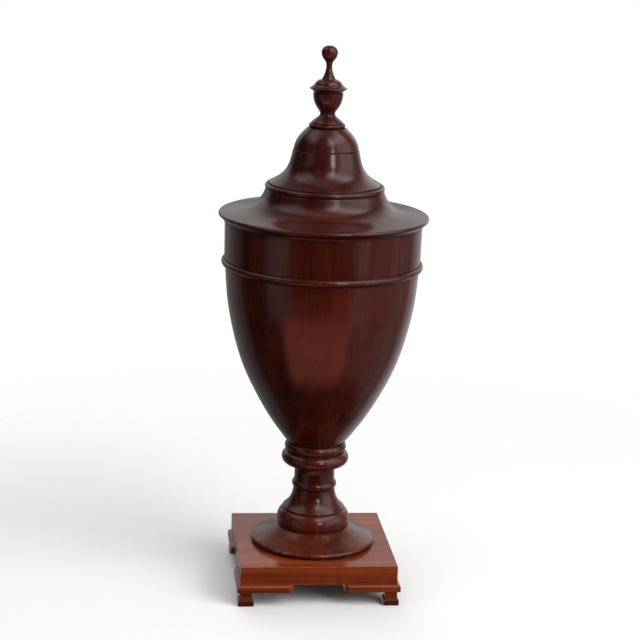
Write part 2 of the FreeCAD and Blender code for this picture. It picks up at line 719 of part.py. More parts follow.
def catch_pawl():
    """Brass pawl that hangs in the post's slot and swings out above the bush to hold the lid up."""
    depth = CATCH_FACE - CATCH_BACK
    body = block(depth, CATCH_WIDTH, CATCH_BOTTOM, CATCH_PIVOT_Z, CATCH_BACK + depth / 2)
    head = pivot_rod(CATCH_HEAD_R, CATCH_WIDTH)
    return body.fuse(head).removeSplitter().cut(pivot_rod(CATCH_PIN_R + CATCH_CLEARANCE, CATCH_WIDTH))


def catch_spring():
    """Leaf spring behind the pawl, pressed flat against the back of the slot."""
    x = CATCH_SLOT_BACK + SPRING_THICKNESS / 2
    return block(SPRING_THICKNESS, CATCH_WIDTH - 0.6, CATCH_BOTTOM + 2.0, CATCH_SLOT_TOP - 2.0, x)


def urn():
    """Every piece of the urn by name. A list is one group of like pieces, each its own solid."""
    pieces = {}
    for name, sign_x, sign_y in corners():
        pieces["foot_pad_" + name] = foot_pad(sign_x, sign_y)
        pieces["foot_block_" + name] = foot_block(sign_x, sign_y)
        pieces["corner_bracket_" + name] = corner_bracket(sign_x, sign_y)
    pieces["foot_screws"] = [foot_screw(sign_x, sign_y) for _, sign_x, sign_y in corners()]
    pieces["plinth_block"] = plinth_block()
    pieces["tie_washer"] = tie_washer()
    pieces["tie_screw"] = tie_screw()
    pieces["spreading_foot"] = spreading_foot()
    pieces["stem_column"] = stem_column()
    pieces["stem_collar"] = stem_collar()
    pieces["bowl_base"] = bowl_base()
    pieces["bowl_shell"] = bowl_shell()
    pieces["astragal_ring"] = astragal_ring()
    pieces["frieze_band"] = frieze_band()
    pieces["guide_socket"] = guide_socket()
    pieces["guide_tube"] = guide_tube()
    pieces["outer_tier"] = outer_tier()
    pieces["middle_riser"] = riser(R_MIDDLE_TIER, Z_OUTER_TIER, Z_MIDDLE_TIER - TIER_THICKNESS)
    pieces["middle_tier"] = middle_tier()
    pieces["middle_edging"] = tier_edging(R_MIDDLE_TIER, Z_MIDDLE_TIER)
    pieces["inner_riser"] = riser(R_INNER_TIER, Z_MIDDLE_TIER, Z_INNER_TIER - TIER_THICKNESS)
    pieces["inner_tier"] = inner_tier()
    pieces["inner_edging"] = tier_edging(R_INNER_TIER, Z_INNER_TIER)
    pieces["guide_bush"] = guide_bush()
    pieces["bush_screws"] = bush_screws()
    pieces["lid_rim"] = lid_rim()
    pieces["locating_ring"] = locating_ring()
    pieces["lid_bead"] = lid_bead()
    pieces["lid_bell"] = lid_bell()
    pieces["lid_cap"] = lid_cap()
    pieces["finial_dowel"] = finial_dowel()
    pieces["finial_vase"] = finial_vase()
    pieces["finial_spire"] = finial_spire()
    pieces["lift_post"] = lift_post()
    pieces["post_stop"] = post_stop()
    pieces["stop_screw"] = stop_screw()
    pieces["post_flange"] = post_flange()
    pieces["flange_screws"] = flange_screws()
    pieces["catch_pin"] = catch_pin()
    pieces["catch_spring"] = catch_spring()
    pieces["catch_pawl"] = catch_pawl()
    return pieces


def main():
    os.makedirs("parts", exist_ok=True)
    for name, piece in urn().items():
        solids = []
        for shape in piece if isinstance(piece, list) else [piece]:
            solids.extend(shape.Solids)
        whole = all(solid.isValid() and solid.isClosed() for solid in solids)
        node = solids[0] if len(solids) == 1 else Part.makeCompound(solids)
        node.exportStep(f"parts/{name}.step")
        box = node.BoundBox
        print(f"{name:28s} solids {len(solids)} sound {whole} volume {node.Volume:10.1f} "
              f"z {box.ZMin:6.1f} to {box.ZMax:6.1f} x {box.XMin:6.1f} to {box.XMax:6.1f}")


main()
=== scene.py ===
"""Looks of a turned mahogany knife urn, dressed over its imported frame."""

import math

import bmesh
import bpy
from bpy.props import FloatProperty, FloatVectorProperty, IntProperty, PointerProperty
from mathutils import Matrix, Quaternion, Vector


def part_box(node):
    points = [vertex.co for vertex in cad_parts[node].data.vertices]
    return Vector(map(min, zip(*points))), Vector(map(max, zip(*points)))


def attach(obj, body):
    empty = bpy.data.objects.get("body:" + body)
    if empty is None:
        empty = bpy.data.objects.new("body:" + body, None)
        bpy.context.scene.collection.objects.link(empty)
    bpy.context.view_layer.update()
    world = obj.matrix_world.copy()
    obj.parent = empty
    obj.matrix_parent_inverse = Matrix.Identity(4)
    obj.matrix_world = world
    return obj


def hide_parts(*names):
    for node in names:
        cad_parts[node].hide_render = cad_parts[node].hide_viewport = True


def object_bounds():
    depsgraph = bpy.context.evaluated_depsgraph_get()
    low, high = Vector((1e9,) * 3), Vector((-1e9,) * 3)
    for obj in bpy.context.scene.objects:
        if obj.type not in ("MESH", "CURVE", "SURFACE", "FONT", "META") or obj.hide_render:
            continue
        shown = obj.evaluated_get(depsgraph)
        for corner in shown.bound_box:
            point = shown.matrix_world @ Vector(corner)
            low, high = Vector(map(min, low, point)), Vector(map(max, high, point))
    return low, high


bl_info = {
    "name": "Knife Urn",
    "version": (1, 0, 0),
    "blender": (4, 5, 0),
    "location": "View3D > Sidebar > Knife Urn",
    "description": "Dresses the frame of a turned knife urn with its woods, brass and boxwood",
    "category": "Object",
}

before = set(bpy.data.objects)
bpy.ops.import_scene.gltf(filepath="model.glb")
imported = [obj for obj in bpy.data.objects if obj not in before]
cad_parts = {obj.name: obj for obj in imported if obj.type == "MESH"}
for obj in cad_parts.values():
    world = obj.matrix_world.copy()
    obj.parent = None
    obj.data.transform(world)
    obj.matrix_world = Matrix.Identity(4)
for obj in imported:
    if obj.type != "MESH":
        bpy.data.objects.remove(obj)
CAD_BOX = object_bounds()
MM = 0.001


# Heights and radii of the pieces, in millimetres, from the frame


def low(node):
    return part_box(node)[0].z / MM


def high(node):
    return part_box(node)[1].z / MM


def reach(node):
    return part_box(node)[1].x / MM


Z_PLINTH = high("plinth_block")
Z_COLUMN = high("spreading_foot")
Z_COLLAR = low("stem_collar")
Z_BOWL = high("stem_collar")
Z_ASTRAGAL = low("astragal_ring")
Z_FRIEZE = high("astragal_ring")
Z_LID = low("lid_rim")
Z_BEAD = low("lid_bead")
Z_BELL = high("lid_bead")
Z_CAP = high("lid_bell")
Z_FINIAL = low("finial_vase")
Z_SPIRE = high("finial_vase")
Z_TOP = high("finial_spire")
JOINTS = (
    Z_PLINTH, Z_COLUMN, Z_COLLAR, Z_BOWL, Z_ASTRAGAL, Z_FRIEZE,
    Z_LID, Z_BEAD, Z_BELL, Z_CAP, Z_FINIAL, Z_SPIRE,
)

R_FOOT = reach("spreading_foot")
R_TORUS = 45.4
R_COLUMN_FOOT = reach("stem_column")
R_NECK = 25.0
R_RING = 27.8
R_COLLAR = reach("stem_collar")
R_COLLAR_BEAD = 38.3
R_BOWL_FOOT = 35.5
R_BOWL = reach("bowl_shell")
R_ASTRAGAL = reach("astragal_ring")
R_FRIEZE = reach("frieze_band")
R_RIM = reach("lid_rim")
R_BEAD = reach("lid_bead")
R_BELL = reach("lid_bell")
R_CAP = 39.4
R_CAP_TOP = 23.6
R_FINIAL_COLLAR = reach("finial_vase")
R_FINIAL_NECK = 8.9
R_VASE = 18.1
R_LIP = reach("finial_spire")
R_COVER = 16.4
R_SPIRE_NECK = 3.5
R_BALL = 9.8

# Joints inside the turned pieces, in millimetres
SCREW_R = 5.0
SCREW_TIP = 128.0
FOOT_TENON_R = 14.0
FOOT_TENON_BOTTOM = Z_COLUMN - 14.5
COLLAR_TENON_R = 13.0
COLLAR_TENON_TOP = high("stem_column")
BOWL_FLOOR = COLLAR_TENON_TOP + 6.0
R_CHAMBER = reach("outer_tier")
R_STEP = 99.0
STEP_TOP = low("outer_tier")
R_SPIGOT = 112.0
SPIGOT_TOP = high("bowl_shell")
R_SOCKET = reach("guide_socket")
R_LID_CHAMBER = 62.0
LID_CHAMBER_TOP = 484.0
R_LID_NECK = 50.0
R_BELL_CHAMBER = 30.0
POST_SHOULDER = high("post_flange")
POST_TENON_R = 6.0
POST_TENON_TOP = high("lift_post")
R_LOCATING = reach("locating_ring")
LOCATING_WALL = 7.5
DOWEL_R = reach("finial_dowel")
DOWEL_BOTTOM = low("finial_dowel")
DOWEL_TOP = high("finial_dowel")
SPIRE_TENON_R = 6.0
SPIRE_TENON_BOTTOM = low("finial_spire")

# Cutlery slots, in millimetres, by the board that they are cut through
SLOT_WIDTH = 8.0
SLOTS = {
    "outer_tier": {"count": 12, "near": 76.0, "far": 96.0},
    "middle_tier": {"count": 6, "near": 48.0, "far": 64.0},
    "inner_tier": {"count": 4, "near": 21.0, "far": 35.0},
}
CORNERS = ("front_left", "front_right", "back_left", "back_right")


def colour(name, description, value):
    return FloatVectorProperty(
        name=name, description=description, default=value, subtype="COLOR", min=0.0, max=1.0
    )


def amount(name, description, value, **how):
    return FloatProperty(name=name, description=description, default=value, **how)


def steps(name, description, value, least):
    return IntProperty(name=name, description=description, default=value, min=least)


def size(name, description, value):
    return amount(name, description, value * MM, unit="LENGTH", precision=5)


class KNIFEURN_PG_sizes(bpy.types.PropertyGroup):
    """How finely the pieces are made and how far their edges are eased"""

    turns: steps("Steps round a turning", "Steps in one turn of a large piece", 168, 24)
    small_turns: steps("Steps round a small turning", "Steps in one turn of a small piece", 80, 16)
    turned_ease: size("Turned corner", "Rounding of a turned corner", 0.25)
    board_ease: size("Board edge", "Rounding of a board's edge", 0.45)
    stringing: size("Slot stringing", "Width of the pale line round each cutlery slot", 1.2)


class KNIFEURN_PG_finishes(bpy.types.PropertyGroup):
    """Middle tones of the woods and metals"""

    bowl: colour("Bowl", "The bowl, the band and the astragal", (0.046, 0.0046, 0.0016))
    lid: colour("Lid", "The lid and the finial", (0.038, 0.0050, 0.0032))
    stem: colour("Stem", "The column and the collar", (0.047, 0.0058, 0.0026))
    foot: colour("Foot", "The spreading foot", (0.072, 0.0110, 0.0048))
    plinth: colour("Plinth", "The plinth, its brackets and its feet", (0.185, 0.0290, 0.0062))
    tiers: colour("Tiers", "The cutlery boards", (0.170, 0.0480, 0.0190))
    lining: colour("Inner faces", "Thinly polished wood inside the bowl and lid", (0.120, 0.0330, 0.0140))
    pale: colour("Pale wood", "The socket and the guide tube", (0.400, 0.2300, 0.1050))
    boxwood: colour("Boxwood", "The edging strips and the stringing", (0.560, 0.3500, 0.1300))
    brass: colour("Brass", "Clean brass", (0.640, 0.4100, 0.1500))
    iron: colour("Iron", "Darkened iron", (0.070, 0.0620, 0.0550))


class KNIFEURN_PG_studio(bpy.types.PropertyGroup):
    """Floor, lamps and camera"""

    floor: colour("Floor", "Colour of the floor", (0.86, 0.855, 0.85))
    floor_bounce: amount("Floor bounce", "Share of the floor's light that reaches the urn from below", 0.28)
    key_glow: amount("Key lamp", "Brightness of the large soft lamp at the right", 6.0)
    roof_glow: amount("Roof lamp", "Brightness of the soft lamp overhead", 1.2)
    left_glow: amount("Left lamp", "Brightness of the weak lamp at the left", 0.8)
    back_glow: amount("Back lamp", "Brightness of the weak lamp behind the urn", 2.2)
    surround: amount("Surround", "Strength of the even light all round", 0.30)
    azimuth: amount("Azimuth", "Where the camera stands", math.radians(-6.56), subtype="ANGLE")
    elevation: amount("Elevation", "How far the camera looks down", math.radians(13.88), subtype="ANGLE")
    lean: amount("Lean", "The camera's turn about its line of sight", math.radians(2.1), subtype="ANGLE")
    distance: amount("Distance", "From the camera to the middle of the urn", 2.27, unit="LENGTH")
    lens: amount("Lens", "Focal length in millimetres", 104.0)


# Woods: the step from one block to the next, the tree's heart, the polish, and where wear, dark wax and
# painted shade lie
BLOCK_STEP = (0.37, 0.73, 0.29)
HEART = (0.11, 0.16, 0.0)
WANDER = 0.012
POLISH_IOR = 1.40
EDGE_WIDTH = 1.6 * MM
WAX_AND_SHADE_INSIDE = 2.0 * MM
WAX_AND_SHADE_OUTSIDE = 3.0 * MM

# Meshes: the share of a face's normal that points at the axis, and the distances that merge points
LOOKS_INWARDS = -0.1
MERGE = 0.003 * MM
COPY_MERGE = 0.01 * MM
FLAT_ANGLE = math.radians(1.0)


# Shader node groups


class Nodes:
    """Adds nodes to a tree and links them."""

    def __init__(self, tree):
        self.tree = tree

    def add(self, kind, **values):
        node = self.tree.nodes.new(kind)
        for name, value in values.items():
            setattr(node, name, value)
        return node

    def put(self, socket, value):
        if isinstance(value, bpy.types.NodeSocket):
            self.tree.links.new(value, socket)
        else:
            socket.default_value = value

    def feed(self, node, values):
        """Puts a value or a link into each named socket of a node."""
        for label, value in values.items():
            self.put(node.inputs[label], value)

    def math(self, operation, a, b=0.5, clamp=False):
        node = self.add("ShaderNodeMath", operation=operation, use_clamp=clamp)
        self.put(node.inputs[0], a)
        self.put(node.inputs[1], b)
        return node.outputs[0]

    def total(self, first, *others, clamp=False):
        for index, other in enumerate(others):
            first = self.math("ADD", first, other, clamp=clamp and index == len(others) - 1)
        return first

    def centred(self, value, width):
        """A 0 to 1 value, moved to swing as far below zero as above it."""
        return self.math("MULTIPLY", self.math("SUBTRACT", value, 0.5), width)

    def vector(self, operation, a, b=(0.0, 0.0, 0.0)):
        node = self.add("ShaderNodeVectorMath", operation=operation)
        self.put(node.inputs[0], a)
        self.put(node.inputs[1], b)
        return node.outputs["Vector"]

    def scaled(self, a, scale):
        node = self.add("ShaderNodeVectorMath", operation="SCALE")
        self.put(node.inputs[0], a)
        self.put(node.inputs["Scale"], scale)
        return node.outputs["Vector"]

    def length(self, a):
        node = self.add("ShaderNodeVectorMath", operation="LENGTH")
        self.put(node.inputs[0], a)
        return node.outputs["Value"]

    def noise(self, vector, scale=1.0, detail=3.0, roughness=0.5, output="Fac"):
        node = self.add("ShaderNodeTexNoise")
        self.feed(node, {"Vector": vector, "Scale": scale, "Detail": detail, "Roughness": roughness})
        return node.outputs[output]

    def stretched(self, vector, across, along, detail=3.0, roughness=0.5):
        """Noise drawn out along Z: so many cells in a metre across the grain and along it."""
        return self.noise(self.vector("MULTIPLY", vector, (across, across, along)), 1.0, detail, roughness)

    def spread(self, value, from_low, from_high, to_low=0.0, to_high=1.0, smooth=True):
        node = self.add("ShaderNodeMapRange", interpolation_type="SMOOTHSTEP" if smooth else "LINEAR")
        self.feed(node, {"Value": value, "From Min": from_low, "From Max": from_high})
        self.feed(node, {"To Min": to_low, "To Max": to_high})
        return node.outputs["Result"]

    def blend(self, fac, a, b, how="MIX"):
        node = self.add("ShaderNodeMix", data_type="RGBA", blend_type=how)
        self.put(node.inputs["Factor"], fac)
        self.put(node.inputs[6], a)
        self.put(node.inputs[7], b)
        return node.outputs[2]

    def tinted(self, a, tint):
        return self.blend(1.0, a, (*tint, 1.0), "MULTIPLY")

    def group(self, name, **values):
        node = self.add("ShaderNodeGroup", node_tree=GROUPS[name])
        self.feed(node, values)
        return node.outputs

    def bump(self, height, strength, depth):
        node = self.add("ShaderNodeBump")
        self.feed(node, {"Strength": strength, "Distance": depth, "Height": height})
        return node.outputs["Normal"]


GROUPS = {}
SOCKETS = {"float": "NodeSocketFloat", "colour": "NodeSocketColor", "vector": "NodeSocketVector"}


def new_group(name, inputs, outputs):
    """An empty group with named sockets: defaults by label going in, None for a vector, kinds going out."""
    tree = bpy.data.node_groups.new(name, "ShaderNodeTree")
    for label, value in inputs.items():
        kind = "vector" if value is None else "colour" if isinstance(value, tuple) else "float"
        socket = tree.interface.new_socket(name=label, in_out="INPUT", socket_type=SOCKETS[kind])
        if value is not None:
            socket.default_value = value
    for label, kind in outputs.items():
        tree.interface.new_socket(name=label, in_out="OUTPUT", socket_type=SOCKETS[kind])
    GROUPS[name] = tree
    n = Nodes(tree)
    return n, n.add("NodeGroupInput").outputs, n.add("NodeGroupOutput").inputs


def mahogany_group():
    """Mahogany with its grain along Z: growth rings, broad figure, streaks, ribbon and short dark pores."""
    n, given, out = new_group(
        "mahogany",
        {
            "Vector": None, "Colour": (0.1, 0.02, 0.01, 1.0), "Figure": 0.5, "Streaks": 0.5, "Ribbon": 0.3,
            "Pores": 0.5,
        },
        {"Colour": "colour", "Pore": "float", "Height": "float"},
    )
    drift = n.noise(n.vector("MULTIPLY", given["Vector"], (7.0, 7.0, 4.0)), 1.0, 2.0, output="Color")
    wander = n.scaled(n.vector("SUBTRACT", drift, (0.5, 0.5, 0.5)), WANDER)
    place = n.vector("ADD", given["Vector"], wander)
    from_heart = n.length(n.vector("MULTIPLY", n.vector("ADD", place, HEART), (1.0, 1.0, 0.05)))
    rings = n.noise(n.vector("MULTIPLY", from_heart, (95.0, 0.0, 0.0)), 1.0, 3.0, 0.6)
    broad = n.stretched(place, 24.0, 2.0, 3.0)
    narrow = n.stretched(place, 170.0, 5.0, 5.0, 0.62)
    hair = n.stretched(place, 720.0, 15.0, 2.0)
    ribbon = n.stretched(place, 58.0, 1.2, 1.0)
    cross = n.stretched(place, 24.0, 60.0, 2.0)
    level = n.total(
        0.5,
        n.centred(n.spread(broad, 0.32, 0.68), given["Figure"]),
        n.centred(n.spread(rings, 0.30, 0.70), n.math("MULTIPLY", given["Figure"], 0.7)),
        n.centred(n.spread(narrow, 0.30, 0.72), given["Streaks"]),
        n.centred(hair, n.math("MULTIPLY", given["Streaks"], 0.55)),
        n.centred(n.spread(ribbon, 0.36, 0.64), given["Ribbon"]),
        n.centred(n.spread(cross, 0.30, 0.70), n.math("MULTIPLY", given["Ribbon"], 0.45)),
        clamp=True,
    )
    deep = n.tinted(given["Colour"], (0.46, 0.32, 0.30))
    pale = n.tinted(given["Colour"], (1.60, 1.95, 1.95))
    lower = n.blend(n.spread(level, 0.0, 0.5, smooth=False), deep, given["Colour"])
    wood = n.blend(n.spread(level, 0.5, 1.0, smooth=False), lower, pale)
    crowd = n.stretched(place, 45.0, 7.0, 2.0)
    grain = n.stretched(place, 2100.0, 190.0, 1.0)
    threshold = n.spread(crowd, 0.3, 0.7, 0.70, 0.61, smooth=False)
    pores = n.math("MULTIPLY", n.spread(n.math("SUBTRACT", grain, threshold), 0.0, 0.05), given["Pores"])
    n.put(out["Colour"], n.blend(pores, wood, n.tinted(given["Colour"], (0.20, 0.15, 0.15))))
    n.put(out["Pore"], pores)
    n.put(out["Height"], n.math("SUBTRACT", n.math("MULTIPLY", narrow, 0.15), pores))


def polish_group():
    """A hand-rubbed polish: cloudy gloss, faint rubbing marks, and a surface that is never quite flat."""
    n, given, out = new_group(
        "polish",
        {
            "Vector": None, "Roughness": 0.25, "Clouds": 0.10, "Coat": 0.6, "Crease": 0.0, "Pore": 0.0,
        },
        {"Roughness": "float", "Coat": "float", "Height": "float"},
    )
    cloud = n.noise(given["Vector"], 15.0, 4.0, 0.6)
    rub = n.stretched(given["Vector"], 320.0, 70.0, 3.0)
    speck = n.spread(n.noise(given["Vector"], 1500.0, 1.0), 0.68, 0.76)
    n.put(
        out["Roughness"],
        n.total(
            given["Roughness"],
            n.centred(cloud, given["Clouds"]),
            n.centred(rub, n.math("MULTIPLY", given["Clouds"], 0.5)),
            n.math("MULTIPLY", given["Crease"], 0.30),
            n.math("MULTIPLY", given["Pore"], 0.15),
            n.math("MULTIPLY", speck, 0.06),
            clamp=True,
        ),
    )
    kept = n.total(
        1.0,
        n.math("MULTIPLY", given["Crease"], -0.75),
        n.math("MULTIPLY", given["Pore"], -0.35),
        n.math("MULTIPLY", n.spread(cloud, 0.50, 0.75), -0.25),
        clamp=True,
    )
    n.put(out["Coat"], n.math("MULTIPLY", kept, given["Coat"]))
    swell = n.noise(given["Vector"], 38.0, 2.0)
    n.put(out["Height"], n.math("ADD", swell, n.math("MULTIPLY", rub, 0.02)))


def wear_and_shade_group():
    """Dark wax and painted shade in the quirks and at the joints, and paler, redder wood where edges are
    rubbed.
    """
    n, given, out = new_group(
        "age",
        {
            "Vector": None, "Colour": (0.1, 0.02, 0.01, 1.0), "Crease": 0.0, "Edge": 0.0, "Wear": 0.5,
        },
        {"Colour": "colour", "Crease": "float"},
    )
    patch = n.noise(given["Vector"], 70.0, 5.0, 0.65)
    # Painted shade: darker colour in quirks and at joints, where shade falls, mixed with dark wax in patches
    wax_and_shade = n.math("MULTIPLY", given["Crease"], n.spread(patch, 0.25, 0.60, 0.60, 1.0), clamp=True)
    rubbed = n.math("MULTIPLY", n.math("MULTIPLY", given["Edge"], n.spread(patch, 0.38, 0.64)), given["Wear"])
    dark = n.tinted(given["Colour"], (0.16, 0.14, 0.15))
    worn = n.tinted(given["Colour"], (2.20, 2.50, 2.30))
    wax_and_shade_darkened = n.blend(n.math("MULTIPLY", wax_and_shade, 0.80), given["Colour"], dark)
    n.put(out["Colour"], n.blend(rubbed, wax_and_shade_darkened, worn))
    n.put(out["Crease"], wax_and_shade)


def board_edge_group():
    """How near a point is to an edge of a square board, or of four alike in the corners."""
    n, given, out = new_group(
        "board_edge",
        {
            "Vector": None, "Centre": None, "Half": None, "Width": 1.5 * MM,
        },
        {"Edge": "float"},
    )
    folded = n.vector("MULTIPLY", n.vector("ABSOLUTE", given["Vector"]), (1.0, 1.0, 0.0))
    upright = n.vector("MULTIPLY", given["Vector"], (0.0, 0.0, 1.0))
    corner = n.vector("ADD", folded, upright)
    from_centre = n.vector("ABSOLUTE", n.vector("SUBTRACT", corner, given["Centre"]))
    depth = n.add("ShaderNodeSeparateXYZ")
    n.put(depth.inputs[0], n.vector("SUBTRACT", given["Half"], from_centre))
    x, y, z = depth.outputs
    second = n.math("MAXIMUM", n.math("MINIMUM", x, y), n.math("MINIMUM", n.math("MAXIMUM", x, y), z))
    n.put(out["Edge"], n.spread(n.math("DIVIDE", second, given["Width"]), 0.0, 1.0, 1.0, 0.0))


def metal_group():
    """Old metal: fine scratches, a dull bloom and darker tarnish in patches."""
    n, given, out = new_group(
        "old_metal",
        {
            "Vector": None, "Colour": (0.6, 0.4, 0.15, 1.0), "Tarnish": 0.4, "Roughness": 0.3,
        },
        {"Colour": "colour", "Roughness": "float", "Height": "float"},
    )
    bloom = n.noise(given["Vector"], 130.0, 6.0, 0.65)
    scratch = n.noise(n.vector("MULTIPLY", given["Vector"], (900.0, 70.0, 900.0)), 1.0, 3.0)
    patch = n.math("MULTIPLY", n.spread(bloom, 0.38, 0.68), given["Tarnish"])
    tarnished = n.tinted(given["Colour"], (0.36, 0.26, 0.22))
    n.put(out["Colour"], n.blend(patch, given["Colour"], tarnished))
    dull = n.math("MULTIPLY", patch, 0.32)
    n.put(out["Roughness"], n.total(given["Roughness"], dull, n.centred(scratch, 0.18), clamp=True))
    n.put(out["Height"], scratch)


# Materials


def new_material(name):
    material = bpy.data.materials.new(name)
    material.use_nodes = True
    return material, Nodes(material.node_tree), material.node_tree.nodes["Principled BSDF"]


def grain_place(n, upright):
    """Object coordinates with the grain along Z, moved on by the block that the piece was cut from."""
    place = n.add("ShaderNodeTexCoord").outputs["Object"]
    if not upright:
        laid = n.add("ShaderNodeMapping")
        n.put(laid.inputs["Vector"], place)
        laid.inputs["Rotation"].default_value = (0.0, math.radians(90.0), 0.0)
        place = laid.outputs["Vector"]
    block = n.add("ShaderNodeAttribute", attribute_name="block").outputs["Fac"]
    return n.vector("ADD", place, n.scaled(BLOCK_STEP, block))


def wood(name, tone, upright=True, figure=0.32, streaks=0.44, ribbon=0.26, pores=0.5, roughness=0.34,
         clouds=0.10, coat=0.85, coat_roughness=0.11, gloss=0.16, wear=0.5, board=None, wax_and_shade_ring=0.0):
    """Polished wood. A board is the centre and half size of a square board whose edges are rubbed."""
    material, n, shader = new_material(name)
    place = grain_place(n, upright)
    where = n.add("ShaderNodeTexCoord").outputs["Object"]
    crease = n.add("ShaderNodeAttribute", attribute_name="crease").outputs["Fac"]
    edge = n.add("ShaderNodeAttribute", attribute_name="edge").outputs["Fac"]
    if board:
        centre, half = board
        edge = n.group("board_edge", Vector=where, Centre=centre, Half=half, Width=EDGE_WIDTH)["Edge"]
    # A dark ring round the foot's base on the plinth: dark wax and painted contact shade
    if wax_and_shade_ring:
        from_axis = n.length(n.vector("MULTIPLY", where, (1.0, 1.0, 0.0)))
        crease = n.spread(from_axis, wax_and_shade_ring - WAX_AND_SHADE_INSIDE, wax_and_shade_ring + WAX_AND_SHADE_OUTSIDE, 1.0, 0.0)
    grain = n.group("mahogany", Vector=place, Colour=(*tone, 1.0), Figure=figure, Streaks=streaks,
                    Ribbon=ribbon, Pores=pores)
    # The crease mask darkens the colour here: dark wax and painted shade
    worn_and_shaded = n.group("age", Vector=place, Colour=grain["Colour"], Crease=crease, Edge=edge, Wear=wear)
    polished = n.group("polish", Vector=place, Roughness=roughness, Clouds=clouds, Coat=coat,
                       Crease=worn_and_shaded["Crease"], Pore=grain["Pore"])
    n.feed(shader, {
        "Base Color": worn_and_shaded["Colour"],
        "Roughness": polished["Roughness"],
        "Coat Weight": polished["Coat"],
        "Coat Roughness": coat_roughness,
        "Coat IOR": POLISH_IOR,
        "Specular IOR Level": gloss,
        "Normal": n.bump(n.total(polished["Height"], grain["Height"]), 0.35, 0.12 * MM),
    })
    return material


def metal(name, tone, tarnish, roughness):
    material, n, shader = new_material(name)
    place = n.add("ShaderNodeTexCoord").outputs["Object"]
    worn = n.group("old_metal", Vector=place, Colour=(*tone, 1.0), Tarnish=tarnish, Roughness=roughness)
    n.feed(shader, {
        "Base Color": worn["Colour"],
        "Metallic": 1.0,
        "Roughness": worn["Roughness"],
        "Normal": n.bump(worn["Height"], 0.25, 0.05 * MM),
    })
    return material


def centre_and_half(node):
    """Centre and half size of a node, with x and y folded onto the back right corner."""
    first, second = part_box(node)
    centre = (first + second) / 2
    return (abs(centre.x), abs(centre.y), centre.z), tuple((second - first) / 2)


def make_finish(name, tones):
    board = {
        "plinth_wood": "plinth_block",
        "block_wood": "foot_block_back_right",
        "pad_wood": "foot_pad_back_right",
    }
    edges = centre_and_half(board[name]) if name in board else None
    thin = {"roughness": 0.42, "coat": 0.25, "coat_roughness": 0.25}
    plain = {"roughness": 0.55, "coat": 0.1, "coat_roughness": 0.30}
    makers = {
        "bowl_wood": lambda: wood(name, tones.bowl),
        "lid_wood": lambda: wood(name, tones.lid, figure=0.30, streaks=0.36),
        "lid_board_wood": lambda: wood(name, tones.lid, upright=False, figure=0.30, streaks=0.36),
        "stem_wood": lambda: wood(name, tones.stem),
        "foot_wood": lambda: wood(name, tones.foot),
        "plinth_wood": lambda: wood(name, tones.plinth, upright=False, board=edges, wax_and_shade_ring=R_FOOT * MM),
        "bracket_wood": lambda: wood(name, tones.plinth, upright=False),
        "block_wood": lambda: wood(name, tones.plinth, upright=False, board=edges),
        "pad_wood": lambda: wood(name, tones.stem, upright=False, board=edges),
        "tier_wood": lambda: wood(name, tones.tiers, upright=False, pores=0.6, **thin),
        "lining_wood": lambda: wood(name, tones.lining, **plain),
        "pale_wood": lambda: wood(name, tones.pale, streaks=0.35, figure=0.3, **plain),
        "post_wood": lambda: wood(name, tones.lining, **thin),
        "boxwood": lambda: wood(
            name, tones.boxwood, streaks=0.2, figure=0.2, ribbon=0.1, pores=0.15, **thin
        ),
        "brass": lambda: metal(name, tones.brass, 0.55, 0.26),
        "iron": lambda: metal(name, tones.iron, 0.60, 0.48),
    }
    makers[name]()


def finish(name):
    """The named material, made when it is first asked for."""
    if name not in bpy.data.materials:
        if not GROUPS:
            for build in (mahogany_group, polish_group, wear_and_shade_group, board_edge_group, metal_group):
                build()
        make_finish(name, bpy.context.scene.knife_urn_finishes)
    return bpy.data.materials[name]


# Outlines and turning


def smooth_through(points):
    """Natural cubic curve through a few points: place by share of its length, and the length."""
    knots = [0.0]
    for a, b in zip(points, points[1:]):
        knots.append(knots[-1] + (b - a).length)
    last = len(points) - 1
    bend = [Vector((0.0, 0.0)) for _ in points]
    upper = [0.0] * len(points)
    for i in range(1, last):
        before = knots[i] - knots[i - 1]
        after = knots[i + 1] - knots[i]
        pull = (points[i + 1] - points[i]) / after - (points[i] - points[i - 1]) / before
        scale = 2 * (before + after) - before * upper[i - 1]
        upper[i] = after / scale
        bend[i] = (6 * pull - before * bend[i - 1]) / scale
    for i in range(last - 1, 0, -1):
        bend[i] = bend[i] - upper[i] * bend[i + 1]

    def place(share):
        along = share * knots[-1]
        i = next((k for k in range(1, last + 1) if knots[k] >= along), last)
        span = knots[i] - knots[i - 1]
        b = (along - knots[i - 1]) / span
        a = 1 - b
        curve = ((a**3 - a) * bend[i - 1] + (b**3 - b) * bend[i]) * span * span / 6
        return a * points[i - 1] + b * points[i] + curve

    return place, knots[-1]


def arc_through(a, b, c):
    """Circle's arc through three points: place by share of its length, and the length."""
    d = 2 * (a.x * (b.y - c.y) + b.x * (c.y - a.y) + c.x * (a.y - b.y))
    squares = [p.length_squared for p in (a, b, c)]
    centre = Vector((
        (squares[0] * (b.y - c.y) + squares[1] * (c.y - a.y) + squares[2] * (a.y - b.y)) / d,
        (squares[0] * (c.x - b.x) + squares[1] * (a.x - c.x) + squares[2] * (b.x - a.x)) / d,
    ))
    first = a - centre
    last = c - centre
    sweep = math.atan2(first.cross(last), first.dot(last))
    way = math.copysign(1.0, (b - a).cross(c - b))
    if sweep * way < 0:
        sweep += way * 2 * math.pi

    def place(share):
        return centre + Matrix.Rotation(sweep * share, 2) @ first

    return place, abs(sweep) * first.length


